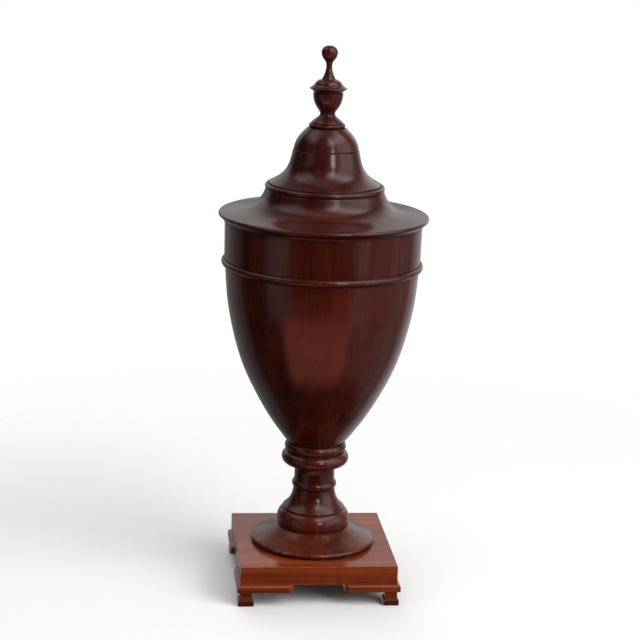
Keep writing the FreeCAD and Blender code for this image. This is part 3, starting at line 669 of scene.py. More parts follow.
class Outline:
    """Half section of a turned piece in millimetres, as radius and height, with the wood at its left."""

    NEAR_END = (0.5, 1.0, 1.6)
    SHORTEST = 0.5
    STRAIGHT_STEP = 12.0
    ARC_STEP = 0.7
    WEAR_REACH = 1.3
    FULL_TURN = math.radians(70.0)

    def __init__(self, radius, height, step=2.2):
        self.points = [Vector((radius, height))]
        self.step = step

    def sample(self, place, length, step):
        """Points along one edge, with a few close together by each end."""
        ends = self.NEAR_END
        inner = length - 2 * ends[-1]
        if inner < self.SHORTEST:
            count = max(1, round(length / self.SHORTEST))
            marks = [length * i / count for i in range(1, count + 1)]
        else:
            count = math.ceil(inner / step)
            between = [ends[-1] + inner * i / count for i in range(count + 1)]
            marks = [*ends[:-1], *between, *(length - end for end in reversed(ends[:-1])), length]
        self.points += [place(mark / length) for mark in marks]
        return self

    def line(self, radius, height):
        start = self.points[-1]
        end = Vector((radius, height))
        return self.sample(lambda share: start.lerp(end, share), (end - start).length, self.STRAIGHT_STEP)

    def lines(self, *points):
        for point in points:
            self.line(*point)
        return self

    def arc(self, middle, radius, height):
        place, length = arc_through(self.points[-1], Vector(middle), Vector((radius, height)))
        return self.sample(place, length, self.ARC_STEP)

    def curve(self, *points):
        place, length = smooth_through([self.points[-1], *(Vector(point) for point in points)])
        return self.sample(place, length, self.step)

    def away(self, index, step):
        """The first point along the outline that lies past the reach of wear."""
        here = self.points[index]
        while 0 <= index + step < len(self.points) and (self.points[index] - here).length < self.WEAR_REACH:
            index += step
        return self.points[index]

    def masks(self):
        """For each point, how deep it lies in a quirk and how far it stands out as an edge."""
        marks = []
        for index, here in enumerate(self.points):
            before = here - self.away(index, -1)
            after = self.away(index, 1) - here
            turn = math.atan2(before.cross(after), before.dot(after)) if before.length * after.length else 0.0
            # The crease mask darkens the wood's colour: dark wax and painted shade in quirks and at joints
            joint = max(0.0, 1.0 - min(abs(here.y - z) for z in JOINTS) / self.WEAR_REACH)
            crease = min(1.0, max(joint, -turn / self.FULL_TURN))
            edge = min(1.0, max(0.0, turn / self.FULL_TURN)) * (1.0 - joint)
            marks.append((crease, edge))
        return marks

    def turned(self, steps, ease):
        """The outline spun round the axis, closed, and its sharp corners rounded."""
        bm = bmesh.new()
        layers = [bm.verts.layers.float.new(label) for label in ("crease", "edge")]
        verts = []
        for point, mask in zip(self.points, self.masks()):
            vert = bm.verts.new((point.x * MM, 0.0, point.y * MM))
            for layer, value in zip(layers, mask):
                vert[layer] = value
            verts.append(vert)
        for first, second in zip(verts, [*verts[1:], verts[0]]):
            if max(first.co.x, second.co.x) > 0.001 * MM and (first.co - second.co).length > 0.001 * MM:
                bm.edges.new((first, second))
        bmesh.ops.delete(bm, geom=[vert for vert in verts if not vert.link_edges], context="VERTS")
        bmesh.ops.spin(bm, geom=bm.verts[:] + bm.edges[:], cent=(0, 0, 0), axis=(0, 0, 1),
                       angle=2 * math.pi, steps=steps, use_merge=True)
        bmesh.ops.remove_doubles(bm, verts=bm.verts, dist=MERGE)
        bmesh.ops.recalc_face_normals(bm, faces=bm.faces)
        ease_edges(bm, ease)
        return bm


def ease_edges(bm, width, segments=2, angle=30.0):
    sharp = [edge for edge in bm.edges if edge.is_manifold and edge.calc_face_angle() > math.radians(angle)]
    if sharp and width:
        bmesh.ops.bevel(bm, geom=sharp, offset=width, offset_type="OFFSET", segments=segments, profile=0.5,
                        affect="EDGES", clamp_overlap=True, material=-1)


def copy_of(node, ease):
    """A node's mesh with its triangles merged into whole faces and its sharp edges rounded."""
    bm = bmesh.new()
    bm.from_mesh(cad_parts[node].data)
    bmesh.ops.remove_doubles(bm, verts=bm.verts, dist=COPY_MERGE)
    bmesh.ops.dissolve_limit(bm, angle_limit=FLAT_ANGLE, verts=bm.verts, edges=bm.edges)
    ease_edges(bm, ease)
    return bm


def add_piece(name, bm, materials, body, replaced, block):
    """A mesh object of a finished bmesh, which rides on its body and stands for its nodes."""
    mesh = bpy.data.meshes.new(name)
    bm.to_mesh(mesh)
    bm.free()
    mesh.shade_smooth()
    layer = mesh.attributes.new("block", "FLOAT", "POINT")
    layer.data.foreach_set("value", [block] * len(mesh.vertices))
    for material in materials:
        mesh.materials.append(finish(material))
    piece = bpy.data.objects.new(name, mesh)
    bpy.context.scene.collection.objects.link(piece)
    if replaced:
        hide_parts(*replaced)
    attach(piece, body)
    return piece


def add_turned(name, outline, nodes, material, body, block, lining=None, small=False):
    """A turned piece for one node or more. Its faces that look towards the axis take the lining's finish."""
    sizes = bpy.context.scene.knife_urn_sizes
    bm = outline.turned(sizes.small_turns if small else sizes.turns, sizes.turned_ease)
    bm.normal_update()
    for face in bm.faces:
        outwards = face.calc_center_median() * Vector((1, 1, 0))
        if lining and face.normal.dot(outwards) < LOOKS_INWARDS * outwards.length:
            face.material_index = 1
    return add_piece(name, bm, [material, lining] if lining else [material], body, nodes.split(), block)


def add_board(name, node, material, body, block, ease=None):
    """A flat-sided piece from its node, with eased edges and faces that shade flat."""
    width = bpy.context.scene.knife_urn_sizes.board_ease if ease is None else ease
    piece = add_piece(name, copy_of(node, width), [material], body, [node], block)
    piece.modifiers.new("flat_faces", "WEIGHTED_NORMAL").weight = 100
    return piece


# Outlines of the turned pieces


def foot_outline():
    return (
        Outline(SCREW_R, Z_PLINTH)
        .lines((R_FOOT - 3.0, Z_PLINTH), (R_FOOT - 3.0, Z_PLINTH + 1.5), (R_FOOT - 0.8, Z_PLINTH + 2.6))
        .arc((R_FOOT, Z_PLINTH + 4.6), R_FOOT - 1.6, Z_PLINTH + 7.0)
        .curve((R_FOOT - 7.0, Z_PLINTH + 9.2), (R_FOOT - 19.0, Z_PLINTH + 14.0), (R_TORUS, Z_PLINTH + 21.5))
        .lines((R_TORUS - 1.8, Z_PLINTH + 21.8), (R_TORUS - 1.8, Z_PLINTH + 23.2))
        .arc((R_TORUS, Z_PLINTH + 30.0), R_COLUMN_FOOT + 1.2, Z_COLUMN - 1.6)
        .lines((R_COLUMN_FOOT - 0.6, Z_COLUMN - 1.0), (R_COLUMN_FOOT - 0.6, Z_COLUMN),
               (FOOT_TENON_R, Z_COLUMN), (FOOT_TENON_R, FOOT_TENON_BOTTOM), (SCREW_R, FOOT_TENON_BOTTOM))
    )


def column_outline():
    ring_bottom = 121.5
    ring_top = 130.5
    return (
        Outline(0.0, SCREW_TIP)
        .lines((1.0, SCREW_TIP), (SCREW_R, SCREW_TIP - 2 * SCREW_R), (SCREW_R, FOOT_TENON_BOTTOM),
               (FOOT_TENON_R, FOOT_TENON_BOTTOM), (FOOT_TENON_R, Z_COLUMN), (R_COLUMN_FOOT, Z_COLUMN),
               (R_COLUMN_FOOT, Z_COLUMN + 1.2))
        .curve((33.0, 101.0), (28.2, 109.0), (R_NECK + 0.6, ring_bottom))
        .arc((R_RING, (ring_bottom + ring_top) / 2), R_NECK + 0.2, ring_top)
        .curve((R_NECK, 138.0), (R_NECK + 0.4, 146.0), (R_NECK + 2.0, Z_COLLAR - 1.2))
        .lines((R_NECK + 2.0, Z_COLLAR), (COLLAR_TENON_R, Z_COLLAR), (COLLAR_TENON_R, COLLAR_TENON_TOP),
               (0.0, COLLAR_TENON_TOP))
    )


def collar_outline():
    bead_bottom = Z_BOWL - 11.0
    return (
        Outline(COLLAR_TENON_R, Z_COLLAR)
        .line(R_COLLAR - 7.0, Z_COLLAR)
        .arc((R_COLLAR, Z_COLLAR + 7.5), R_COLLAR - 5.2, bead_bottom - 1.6)
        .lines((R_COLLAR_BEAD - 2.4, bead_bottom - 1.6), (R_COLLAR_BEAD - 2.4, bead_bottom))
        .arc((R_COLLAR_BEAD, bead_bottom + 4.8), R_COLLAR_BEAD - 2.2, Z_BOWL - 1.2)
        .lines((R_BOWL_FOOT - 0.6, Z_BOWL - 1.2), (R_BOWL_FOOT - 0.6, Z_BOWL), (COLLAR_TENON_R, Z_BOWL))
    )


def bowl_outline():
    return (
        Outline(R_BOWL_FOOT, Z_BOWL)
        .curve((57.2, 210.5), (78.6, 247.0), (94.8, 282.0), (106.4, 320.0), (114.0, 358.0),
               (R_BOWL, Z_ASTRAGAL))
        .lines((R_SPIGOT, Z_ASTRAGAL), (R_SPIGOT, SPIGOT_TOP), (R_CHAMBER, SPIGOT_TOP),
               (R_CHAMBER, STEP_TOP), (R_STEP, STEP_TOP))
        .curve((96.7, 322.4), (85.5, 285.6), (69.8, 251.6), (48.7, 215.6), (R_SOCKET + 3.0, BOWL_FLOOR + 2.0))
        .lines((R_SOCKET, BOWL_FLOOR), (0.0, BOWL_FLOOR), (0.0, COLLAR_TENON_TOP),
               (COLLAR_TENON_R, COLLAR_TENON_TOP), (COLLAR_TENON_R, Z_BOWL))
    )


def astragal_outline():
    return (
        Outline(R_SPIGOT, Z_ASTRAGAL)
        .lines((R_BOWL + 0.6, Z_ASTRAGAL), (R_BOWL + 0.6, Z_ASTRAGAL + 1.2))
        .arc((R_ASTRAGAL, Z_ASTRAGAL + 5.4), R_FRIEZE + 0.4, Z_FRIEZE - 0.6)
        .lines((R_FRIEZE + 0.4, Z_FRIEZE), (R_SPIGOT, Z_FRIEZE))
    )


def band_outline():
    return (
        Outline(R_SPIGOT, Z_FRIEZE)
        .lines((R_FRIEZE - 0.4, Z_FRIEZE), (R_FRIEZE, Z_LID - 0.6), (R_FRIEZE - 0.6, Z_LID),
               (R_CHAMBER, Z_LID), (R_CHAMBER, SPIGOT_TOP), (R_SPIGOT, SPIGOT_TOP))
    )


def rim_outline():
    groove_top = high("locating_ring")
    return (
        Outline(R_LID_CHAMBER, Z_LID)
        .lines((R_LOCATING - LOCATING_WALL, Z_LID), (R_LOCATING - LOCATING_WALL, groove_top),
               (R_LOCATING, groove_top), (R_LOCATING, Z_LID), (R_FRIEZE + 1.4, Z_LID),
               (R_FRIEZE + 1.4, Z_LID + 1.2))
        .arc((R_RIM - 4.2, Z_LID + 4.6), R_RIM - 1.0, Z_LID + 6.4)
        .arc((R_RIM, Z_LID + 8.6), R_RIM - 1.8, Z_LID + 10.8)
        .curve((R_RIM - 12.0, Z_LID + 12.4), (98.0, Z_LID + 15.8), (85.0, Z_LID + 21.0), (76.8, Z_LID + 28.6),
               (R_BEAD - 0.6, Z_BEAD - 1.2))
        .lines((R_BEAD - 1.4, Z_BEAD), (R_LID_NECK, Z_BEAD), (R_LID_NECK, LID_CHAMBER_TOP),
               (R_LID_CHAMBER, LID_CHAMBER_TOP))
    )


def locating_outline():
    inner = R_LOCATING - LOCATING_WALL
    bottom = low("locating_ring")
    top = high("locating_ring")
    return (
        Outline(inner, bottom)
        .lines((R_LOCATING - 1.5, bottom), (R_LOCATING, bottom + 1.5), (R_LOCATING, top), (inner, top))
    )


def bead_outline():
    return (
        Outline(R_LID_NECK, Z_BEAD)
        .lines((R_BEAD - 0.9, Z_BEAD), (R_BEAD - 0.9, Z_BEAD + 0.6))
        .arc((R_BEAD, Z_BEAD + 2.6), R_BELL + 1.4, Z_BELL - 0.8)
        .lines((R_BELL + 1.4, Z_BELL), (R_LID_NECK, Z_BELL))
    )


def bell_outline():
    return (
        Outline(R_LID_NECK, Z_BELL)
        .lines((R_BELL, Z_BELL), (R_BELL, Z_BELL + 0.8))
        .curve((58.4, 511.2), (49.8, 518.6), (44.4, 528.0), (41.6, 538.0), (R_CAP + 0.3, Z_CAP - 0.9))
        .lines((R_CAP - 0.6, Z_CAP), (POST_TENON_R, Z_CAP), (POST_TENON_R, POST_SHOULDER),
               (R_BELL_CHAMBER, POST_SHOULDER))
        .curve((33.0, 524.0), (R_LID_NECK - 8.0, 512.0), (R_LID_NECK, Z_BELL))
    )


def cap_outline():
    return (
        Outline(0.0, POST_TENON_TOP)
        .lines((POST_TENON_R, POST_TENON_TOP), (POST_TENON_R, Z_CAP), (R_CAP - 0.6, Z_CAP),
               (R_CAP - 0.1, Z_CAP + 0.7))
        .curve((36.4, 556.4), (31.0, 564.8), (R_CAP_TOP, Z_FINIAL - 0.8))
        .lines((R_CAP_TOP - 1.8, Z_FINIAL), (DOWEL_R, Z_FINIAL), (DOWEL_R, DOWEL_BOTTOM),
               (0.0, DOWEL_BOTTOM))
    )


def vase_outline():
    quirk_r = R_FINIAL_COLLAR - 3.0
    return (
        Outline(DOWEL_R, Z_FINIAL, step=0.9)
        .lines((R_FINIAL_COLLAR - 1.2, Z_FINIAL), (R_FINIAL_COLLAR - 1.2, Z_FINIAL + 0.8))
        .arc((R_FINIAL_COLLAR, Z_FINIAL + 2.8), R_FINIAL_COLLAR - 2.2, Z_FINIAL + 4.9)
        .lines((quirk_r, Z_FINIAL + 4.9), (quirk_r, Z_FINIAL + 6.4))
        .curve((15.2, 582.8), (11.3, 585.8), (R_FINIAL_NECK, 589.2), (10.2, 592.8), (13.4, 597.4),
               (16.9, 605.2), (R_VASE, Z_SPIRE - 1.0))
        .lines((R_VASE - 1.0, Z_SPIRE), (SPIRE_TENON_R, Z_SPIRE), (SPIRE_TENON_R, SPIRE_TENON_BOTTOM),
               (0.0, SPIRE_TENON_BOTTOM), (0.0, DOWEL_TOP), (DOWEL_R, DOWEL_TOP))
    )


def spire_outline():
    return (
        Outline(0.0, SPIRE_TENON_BOTTOM, step=0.9)
        .lines((SPIRE_TENON_R, SPIRE_TENON_BOTTOM), (SPIRE_TENON_R, Z_SPIRE), (R_VASE - 0.6, Z_SPIRE),
               (R_VASE - 0.6, Z_SPIRE + 1.0))
        .arc((R_VASE + 1.2, Z_SPIRE + 3.0), R_LIP, Z_SPIRE + 4.4)
        .line(R_LIP, Z_SPIRE + 5.8)
        .curve((R_LIP - 3.0, Z_SPIRE + 7.7), (R_COVER + 0.8, Z_SPIRE + 9.6))
        .line(R_COVER, Z_SPIRE + 9.8)
        .arc((R_COVER - 1.8, Z_SPIRE + 13.0), 9.6, Z_SPIRE + 15.6)
        .line(8.4, Z_SPIRE + 15.9)
        .curve((6.1, 635.0), (4.3, 640.4), (R_SPIRE_NECK, 646.2), (4.2, 650.4), (7.2, 654.8), (R_BALL, 662.0),
               (8.4, 666.8), (4.8, 669.6), (0.0, Z_TOP))
    )


def edging_outline(node):
    bottom = low(node)
    top = high(node)
    outer = reach(node)
    inner = outer - 2.0
    return (
        Outline(inner, bottom)
        .line(outer - 1.0, bottom)
        .arc((outer, (bottom + top) / 2), outer - 1.0, top)
        .line(inner, top)
    )


# Operators


class KNIFEURN_OT_feet(bpy.types.Operator):
    """Add the four foot pads and the blocks over them"""

    bl_idname = "knife_urn.feet"
    bl_label = "Feet"

    def execute(self, context):
        for block, corner in enumerate(CORNERS):
            for part, first in (("pad", 1.3), ("block", 6.1)):
                add_board(f"{part}_{corner}", f"foot_{part}_{corner}", f"{part}_wood", "urn",
                          first + block)
        return {"FINISHED"}


class KNIFEURN_OT_brackets(bpy.types.Operator):
    """Add the four corner brackets under the plinth"""

    bl_idname = "knife_urn.brackets"
    bl_label = "Corner brackets"

    def execute(self, context):
        for block, corner in enumerate(CORNERS):
            add_board(f"bracket_{corner}", f"corner_bracket_{corner}", "bracket_wood", "urn",
                      11.7 + block)
        return {"FINISHED"}


class KNIFEURN_OT_plinth(bpy.types.Operator):
    """Add the square plinth board"""

    bl_idname = "knife_urn.plinth"
    bl_label = "Plinth"

    def execute(self, context):
        add_board("plinth_board", "plinth_block", "plinth_wood", "urn", 17.2)
        return {"FINISHED"}


class KNIFEURN_OT_stem(bpy.types.Operator):
    """Turn the spreading foot, the column and the collar under the bowl"""

    bl_idname = "knife_urn.stem"
    bl_label = "Stem"

    def execute(self, context):
        add_turned("turned_foot", foot_outline(), "spreading_foot", "foot_wood", "urn", 2.1)
        add_turned("turned_column", column_outline(), "stem_column", "stem_wood", "urn", 3.4)
        add_turned("turned_collar", collar_outline(), "stem_collar", "stem_wood", "urn", 4.9)
        return {"FINISHED"}


class KNIFEURN_OT_bowl(bpy.types.Operator):
    """Turn the bowl, the astragal and the band over it"""

    bl_idname = "knife_urn.bowl"
    bl_label = "Bowl and band"

    def execute(self, context):
        inside = "lining_wood"
        nodes = "bowl_base bowl_shell"
        add_turned("turned_bowl", bowl_outline(), nodes, "bowl_wood", "urn", 0.0, inside)
        add_turned("turned_astragal", astragal_outline(), "astragal_ring", "bowl_wood", "urn", 5.3)
        add_turned("turned_band", band_outline(), "frieze_band", "bowl_wood", "urn", 0.8, inside)
        return {"FINISHED"}


class KNIFEURN_OT_tiers(bpy.types.Operator):
    """Add the three cutlery boards, the ring walls between them and their pale edging"""

    bl_idname = "knife_urn.tiers"
    bl_label = "Cutlery tiers"

    def execute(self, context):
        for block, name in enumerate(SLOTS):
            add_board(f"{name}_board", name, "tier_wood", "urn", 20.3 + block, ease=0.3 * MM)
        for name in ("middle_riser", "inner_riser"):
            add_board(f"{name}_wall", name, "tier_wood", "urn", 24.6, ease=0.2 * MM)
        for name in ("middle_edging", "inner_edging"):
            add_turned(f"{name}_strip", edging_outline(name), name, "boxwood", "urn", 25.5)
        return {"FINISHED"}


class KNIFEURN_OT_stringing(bpy.types.Operator):
    """Let a pale line in round the mouth of each cutlery slot"""

    bl_idname = "knife_urn.stringing"
    bl_label = "Slot stringing"

    segments: steps("Segments", "Steps round a slot's two ends", 28, 8)
    proud: amount("Proud", "How far it stands over the board", 0.04 * MM)
    depth: amount("Depth", "How deep it is let in", 0.8 * MM)
    lap: amount("Lap", "How far it stands into the slot", 0.05 * MM)

    def add_ring(self, bm, slots, top, turn, width):
        straight = (slots["far"] - slots["near"] - SLOT_WIDTH) / 2 * MM
        inner = SLOT_WIDTH / 2 * MM - self.lap
        rims = []
        for radius in (inner, inner + width):
            verts = bmesh.ops.create_circle(bm, radius=radius, segments=self.segments)["verts"]
            half_step = Matrix.Rotation(math.pi / self.segments, 3, "Z")
            bmesh.ops.rotate(bm, verts=verts, cent=(0, 0, 0), matrix=half_step)
            for vert in verts:
                vert.co.x += math.copysign(straight, vert.co.x)
            rims += verts
        edges = list({edge for vert in rims for edge in vert.link_edges})
        lower = bmesh.ops.bridge_loops(bm, edges=edges)["faces"]
        made = bmesh.ops.extrude_face_region(bm, geom=lower)["geom"]
        upper = [part for part in made if isinstance(part, bmesh.types.BMVert)]
        bmesh.ops.translate(bm, verts=upper, vec=(0, 0, self.depth))
        middle = (slots["near"] + slots["far"]) / 2 * MM
        bmesh.ops.translate(bm, verts=rims + upper, vec=(middle, 0, top * MM + self.proud - self.depth))
        bmesh.ops.rotate(bm, verts=rims + upper, cent=(0, 0, 0), matrix=Matrix.Rotation(turn, 3, "Z"))

    def execute(self, context):
        width = context.scene.knife_urn_sizes.stringing
        for name, slots in SLOTS.items():
            bm = bmesh.new()
            for index in range(slots["count"]):
                turn = math.radians(360.0 / slots["count"] * index)
                self.add_ring(bm, slots, high(name), turn, width)
            bmesh.ops.recalc_face_normals(bm, faces=bm.faces)
            add_piece(f"{name}_stringing", bm, ["boxwood"], "urn", [], 26.0)
        return {"FINISHED"}


class KNIFEURN_OT_guide(bpy.types.Operator):
    """Add the guide tube, its socket on the bowl's floor and the brass bush at its top"""

    bl_idname = "knife_urn.guide"
    bl_label = "Post guide"

    def execute(self, context):
        add_board("socket_disc", "guide_socket", "pale_wood", "urn", 27.1)
        add_board("guide_box", "guide_tube", "pale_wood", "urn", 28.3)
        add_board("bush_plate", "guide_bush", "brass", "urn", 29.0, ease=0.2 * MM)
        return {"FINISHED"}


class KNIFEURN_OT_lid(bpy.types.Operator):
    """Turn the lid's rim, the ring under it, the bead, the bell and the cap"""

    bl_idname = "knife_urn.lid"
    bl_label = "Lid"

    def execute(self, context):
        inside = "lining_wood"
        add_turned("turned_rim", rim_outline(), "lid_rim", "lid_board_wood", "lid", 7.7, inside)
        add_turned("turned_ring", locating_outline(), "locating_ring", "lid_board_wood", "lid", 9.3)
        add_turned("turned_bead", bead_outline(), "lid_bead", "lid_wood", "lid", 10.6)
        add_turned("turned_bell", bell_outline(), "lid_bell", "lid_wood", "lid", 12.4, inside)
        add_turned("turned_cap", cap_outline(), "lid_cap", "lid_wood", "lid", 13.2)
        return {"FINISHED"}


class KNIFEURN_OT_finial(bpy.types.Operator):
    """Turn the finial's small vase and its spire"""

    bl_idname = "knife_urn.finial"
    bl_label = "Finial"

    def execute(self, context):
        add_turned("turned_vase", vase_outline(), "finial_vase", "lid_wood", "lid", 14.9, small=True)
        add_turned("turned_spire", spire_outline(), "finial_spire", "lid_wood", "lid", 15.4, small=True)
        return {"FINISHED"}


class KNIFEURN_OT_post(bpy.types.Operator):
    """Add the lift post, the stop at its foot, its flange and the catch"""

    bl_idname = "knife_urn.post"
    bl_label = "Lift post and catch"

    def execute(self, context):
        add_board("post_square", "lift_post", "post_wood", "lid", 30.8)
        add_board("stop_block", "post_stop", "post_wood", "lid", 31.9)
        add_board("flange_plate", "post_flange", "brass", "lid", 33.0, ease=0.3 * MM)
        add_board("pawl_plate", "catch_pawl", "brass", "catch", 34.0, ease=0.3 * MM)
        return {"FINISHED"}


class KNIFEURN_OT_fittings(bpy.types.Operator):
    """Give the screws, the washer, the pin, the spring and the dowel their finish"""

    bl_idname = "knife_urn.fittings"
    bl_label = "Screws and small fittings"

    def execute(self, context):
        finishes = {
            "iron": ("foot_screws", "tie_screw", "tie_washer", "stop_screw", "catch_spring"),
            "brass": ("bush_screws", "flange_screws", "catch_pin"),
            "pale_wood": ("finial_dowel",),
        }
        for name, nodes in finishes.items():
            for node in nodes:
                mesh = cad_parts[node].data
                mesh.materials.clear()
                mesh.materials.append(finish(name))
        return {"FINISHED"}


def direction(azimuth, elevation):
    """Unit vector from the urn to a place round it. Azimuth 0 is in front, and grows to the right."""
    return Vector((
        math.sin(azimuth) * math.cos(elevation),
        -math.cos(azimuth) * math.cos(elevation),
        math.sin(elevation),
    ))


# Windows that the polish mirrors: azimuth and elevation of the middle, half width and half height, and
# the softness of the edge, all in degrees, then the brightness
WINDOWS = (
    ("right wall", (72, -8), (42, 42), 16, 0.26),
    ("right window", (66, 16), (26, 19), 18, 1.30),
    ("right edge", (40, -14), (9, 14), 8, 0.22),
    ("left window", (-60, -4), (15, 24), 10, 0.36),
    ("left edge", (-128, -28), (12, 26), 12, 0.14),
    ("upper right lamp", (52, 54), (50, 14), 24, 3.00),
    ("strip lamp", (20, 36), (5, 24), 10, 3.20),
    ("small lamp", (17, 17), (6, 6), 9, 6.50),
    ("upper left lamp", (-94, 56), (36, 14), 26, 1.30),
    ("roof", (0, 90), (180, 15), 24, 0.45),
    ("behind", (180, 6), (42, 50), 24, 0.22),
    ("backdrop", (178, 20), (44, 14), 12, 0.34),
    ("behind right", (142, -6), (20, 56), 12, 0.36),
)
ROOM_GLOW = 0.012
LOW_FRONT = ((-12, -43), (44, 15), 16, 1.0)
LOW_FRONT_TONE = (1.60, 0.44, 0.32)

# Lamps: azimuth and elevation in degrees, distance and side in metres
LAMPS = {
    "key": (50, 30, 2.3, 1.8),
    "roof": (10, 84, 1.9, 1.7),
    "left": (-75, 25, 2.2, 1.6),
    "back": (-168, 35, 2.3, 1.8),
}


class KNIFEURN_OT_stage(bpy.types.Operator):
    """Add the floor, the soft lamps, the pale surround and the camera"""

    bl_idname = "knife_urn.stage"
    bl_label = "Stage"

    floor_radius: amount("Floor radius", "Size of the floor", 2.4, unit="LENGTH")
    fade_start: amount("Fade start", "Distance from the urn at which the floor starts to fade", 0.30)
    fade_end: amount("Fade end", "Distance from the urn at which it is gone", 1.10)

    def add_floor(self, studio):
        bm = bmesh.new()
        bmesh.ops.create_circle(bm, cap_ends=True, radius=self.floor_radius, segments=96)
        mesh = bpy.data.meshes.new("floor")
        bm.to_mesh(mesh)
        bm.free()
        floor = bpy.data.objects.new("floor", mesh)
        floor.visible_glossy = False
        bpy.context.scene.collection.objects.link(floor)
        material, n, shader = new_material("floor")
        place = n.add("ShaderNodeTexCoord").outputs["Object"]
        path = n.add("ShaderNodeLightPath").outputs
        tone = (*studio.floor, 1.0)
        mottled = n.blend(n.noise(place, 6.0, 4.0), tone, n.tinted(tone, (0.97, 0.97, 0.97)))
        bounced = n.tinted(tone, (studio.floor_bounce,) * 3)
        seen = n.math("MAXIMUM", path["Is Camera Ray"], path["Is Transmission Ray"])
        n.feed(shader, {
            "Base Color": n.blend(seen, bounced, mottled), "Roughness": 0.7, "Specular IOR Level": 0.15,
        })
        clear = n.add("ShaderNodeBsdfTransparent")
        mix = n.add("ShaderNodeMixShader")
        below = n.add("ShaderNodeNewGeometry").outputs["Backfacing"]
        faded = n.spread(n.length(place), self.fade_start, self.fade_end)
        n.put(mix.inputs[0], n.math("MAXIMUM", faded, below))
        n.put(mix.inputs[1], shader.outputs[0])
        n.put(mix.inputs[2], clear.outputs[0])
        n.put(material.node_tree.nodes["Material Output"].inputs["Surface"], mix.outputs[0])
        mesh.materials.append(material)

    def add_lamp(self, name, azimuth, elevation, distance, side, glow, middle):
        """A soft square lamp turned to the urn. The polish mirrors the surround's windows in its place."""
        lamp = bpy.data.lights.new(name, "AREA")
        lamp.shape = "SQUARE"
        lamp.size = side
        lamp.energy = glow * math.pi * side * side
        panel = bpy.data.objects.new(name, lamp)
        way = direction(math.radians(azimuth), math.radians(elevation))
        panel.location = middle + way * distance
        panel.rotation_mode = "QUATERNION"
        panel.rotation_quaternion = (-way).to_track_quat("-Z", "Y")
        panel.visible_camera = False
        panel.visible_glossy = False
        bpy.context.scene.collection.objects.link(panel)

    def window(self, n, azimuth, elevation, middle, half, edge, glow):
        """A soft-edged bright patch of the surround, by its azimuth and elevation in degrees."""
        edge = math.radians(edge) / 2
        aside = n.math("PINGPONG", n.math("SUBTRACT", azimuth, math.radians(middle[0])), math.pi)
        above = n.math("ABSOLUTE", n.math("SUBTRACT", elevation, math.radians(middle[1])))
        width, height = (math.radians(angle) for angle in half)
        across = n.spread(aside, width - edge, width + edge, 1.0, 0.0)
        upright = n.spread(above, height - edge, height + edge, 1.0, 0.0)
        return n.math("MULTIPLY", n.math("MULTIPLY", across, upright), glow)

    def mirrored_room(self, n):
        """What polished wood mirrors: soft windows at the sides and above, a warm glow low in front."""
        way = n.add("ShaderNodeSeparateXYZ")
        n.put(way.inputs[0], n.add("ShaderNodeTexCoord").outputs["Generated"])
        x, y, z = way.outputs
        azimuth = n.math("ARCTAN2", x, n.math("MULTIPLY", y, -1.0))
        elevation = n.math("ARCSINE", z)
        neutral = n.total(ROOM_GLOW, *(self.window(n, azimuth, elevation, *place) for _, *place in WINDOWS))
        warm = n.scaled(LOW_FRONT_TONE, self.window(n, azimuth, elevation, *LOW_FRONT))
        return n.vector("ADD", n.scaled((1.0, 1.0, 1.0), neutral), warm)

    def add_surround(self, studio):
        """White to the camera, even for the light that the urn takes in, and a dim room in the polish."""
        world = bpy.data.worlds.new("surround")
        world.use_nodes = True
        bpy.context.scene.world = world
        n = Nodes(world.node_tree)
        path = n.add("ShaderNodeLightPath").outputs
        seen = n.math("MAXIMUM", path["Is Camera Ray"], path["Is Transmission Ray"])
        lighting = n.math("SUBTRACT", 1.0, n.math("MAXIMUM", seen, path["Is Glossy Ray"]), clamp=True)
        plain = n.total(seen, n.math("MULTIPLY", lighting, studio.surround))
        mirrored = n.scaled(self.mirrored_room(n), path["Is Glossy Ray"])
        light = n.vector("ADD", n.scaled((1.0, 1.0, 1.0), plain), mirrored)
        n.put(world.node_tree.nodes["Background"].inputs["Color"], light)

    def add_camera(self, studio, middle):
        camera = bpy.data.objects.new("camera", bpy.data.cameras.new("camera"))
        camera.data.lens = studio.lens
        camera.data.clip_end = 50.0
        way = direction(studio.azimuth, studio.elevation)
        camera.location = middle + way * studio.distance
        camera.rotation_mode = "QUATERNION"
        camera.rotation_quaternion = (-way).to_track_quat("-Z", "Y") @ Quaternion((0, 0, 1), studio.lean)
        bpy.context.scene.collection.objects.link(camera)
        bpy.context.scene.camera = camera

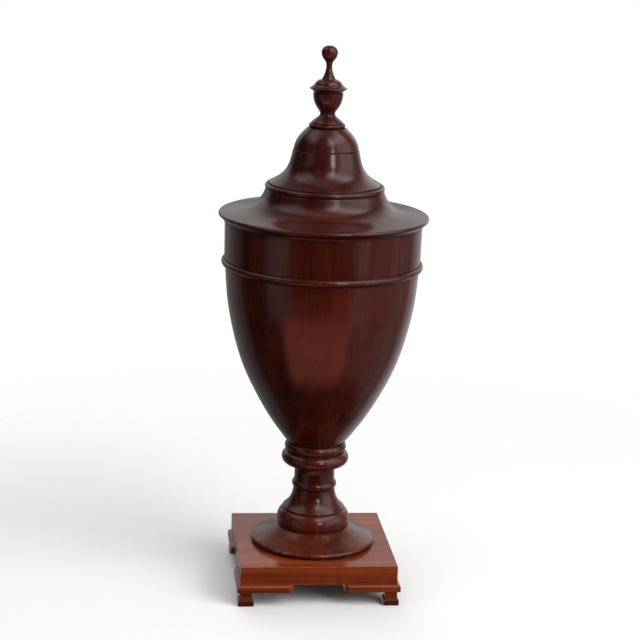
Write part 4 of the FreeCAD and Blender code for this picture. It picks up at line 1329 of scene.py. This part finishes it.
    def execute(self, context):
        studio = context.scene.knife_urn_studio
        middle = (CAD_BOX[0] + CAD_BOX[1]) / 2
        context.scene.view_settings.view_transform = "Standard"
        self.add_floor(studio)
        self.add_surround(studio)
        self.add_camera(studio, middle)
        for name, place in LAMPS.items():
            self.add_lamp(f"{name}_lamp", *place, getattr(studio, f"{name}_glow"), middle)
        return {"FINISHED"}


OPERATORS = (
    KNIFEURN_OT_stage,
    KNIFEURN_OT_feet,
    KNIFEURN_OT_brackets,
    KNIFEURN_OT_plinth,
    KNIFEURN_OT_stem,
    KNIFEURN_OT_bowl,
    KNIFEURN_OT_tiers,
    KNIFEURN_OT_stringing,
    KNIFEURN_OT_guide,
    KNIFEURN_OT_lid,
    KNIFEURN_OT_finial,
    KNIFEURN_OT_post,
    KNIFEURN_OT_fittings,
)


class KNIFEURN_PT_pieces(bpy.types.Panel):
    """The urn's pieces, in the order in which they are made"""

    bl_idname = "KNIFEURN_PT_pieces"
    bl_label = "Knife Urn"
    bl_space_type = "VIEW_3D"
    bl_region_type = "UI"
    bl_category = "Knife Urn"

    def draw(self, context):
        for operator in OPERATORS:
            self.layout.operator(operator.bl_idname)


PROPERTIES = {
    "knife_urn_sizes": KNIFEURN_PG_sizes,
    "knife_urn_finishes": KNIFEURN_PG_finishes,
    "knife_urn_studio": KNIFEURN_PG_studio,
}
CLASSES = (*PROPERTIES.values(), *OPERATORS, KNIFEURN_PT_pieces)


def register():
    for kind in CLASSES:
        bpy.utils.register_class(kind)
    for name, kind in PROPERTIES.items():
        setattr(bpy.types.Scene, name, PointerProperty(type=kind))


def unregister():
    for name in PROPERTIES:
        delattr(bpy.types.Scene, name)
    for kind in reversed(CLASSES):
        bpy.utils.unregister_class(kind)


def main():
    register()
    bpy.ops.knife_urn.stage()
    bpy.ops.knife_urn.feet()
    bpy.ops.knife_urn.brackets()
    bpy.ops.knife_urn.plinth()
    bpy.ops.knife_urn.stem()
    bpy.ops.knife_urn.bowl()
    bpy.ops.knife_urn.tiers()
    bpy.ops.knife_urn.stringing()
    bpy.ops.knife_urn.guide()
    bpy.ops.knife_urn.lid()
    bpy.ops.knife_urn.finial()
    bpy.ops.knife_urn.post()
    bpy.ops.knife_urn.fittings()


if __name__ == "__main__":
    main()
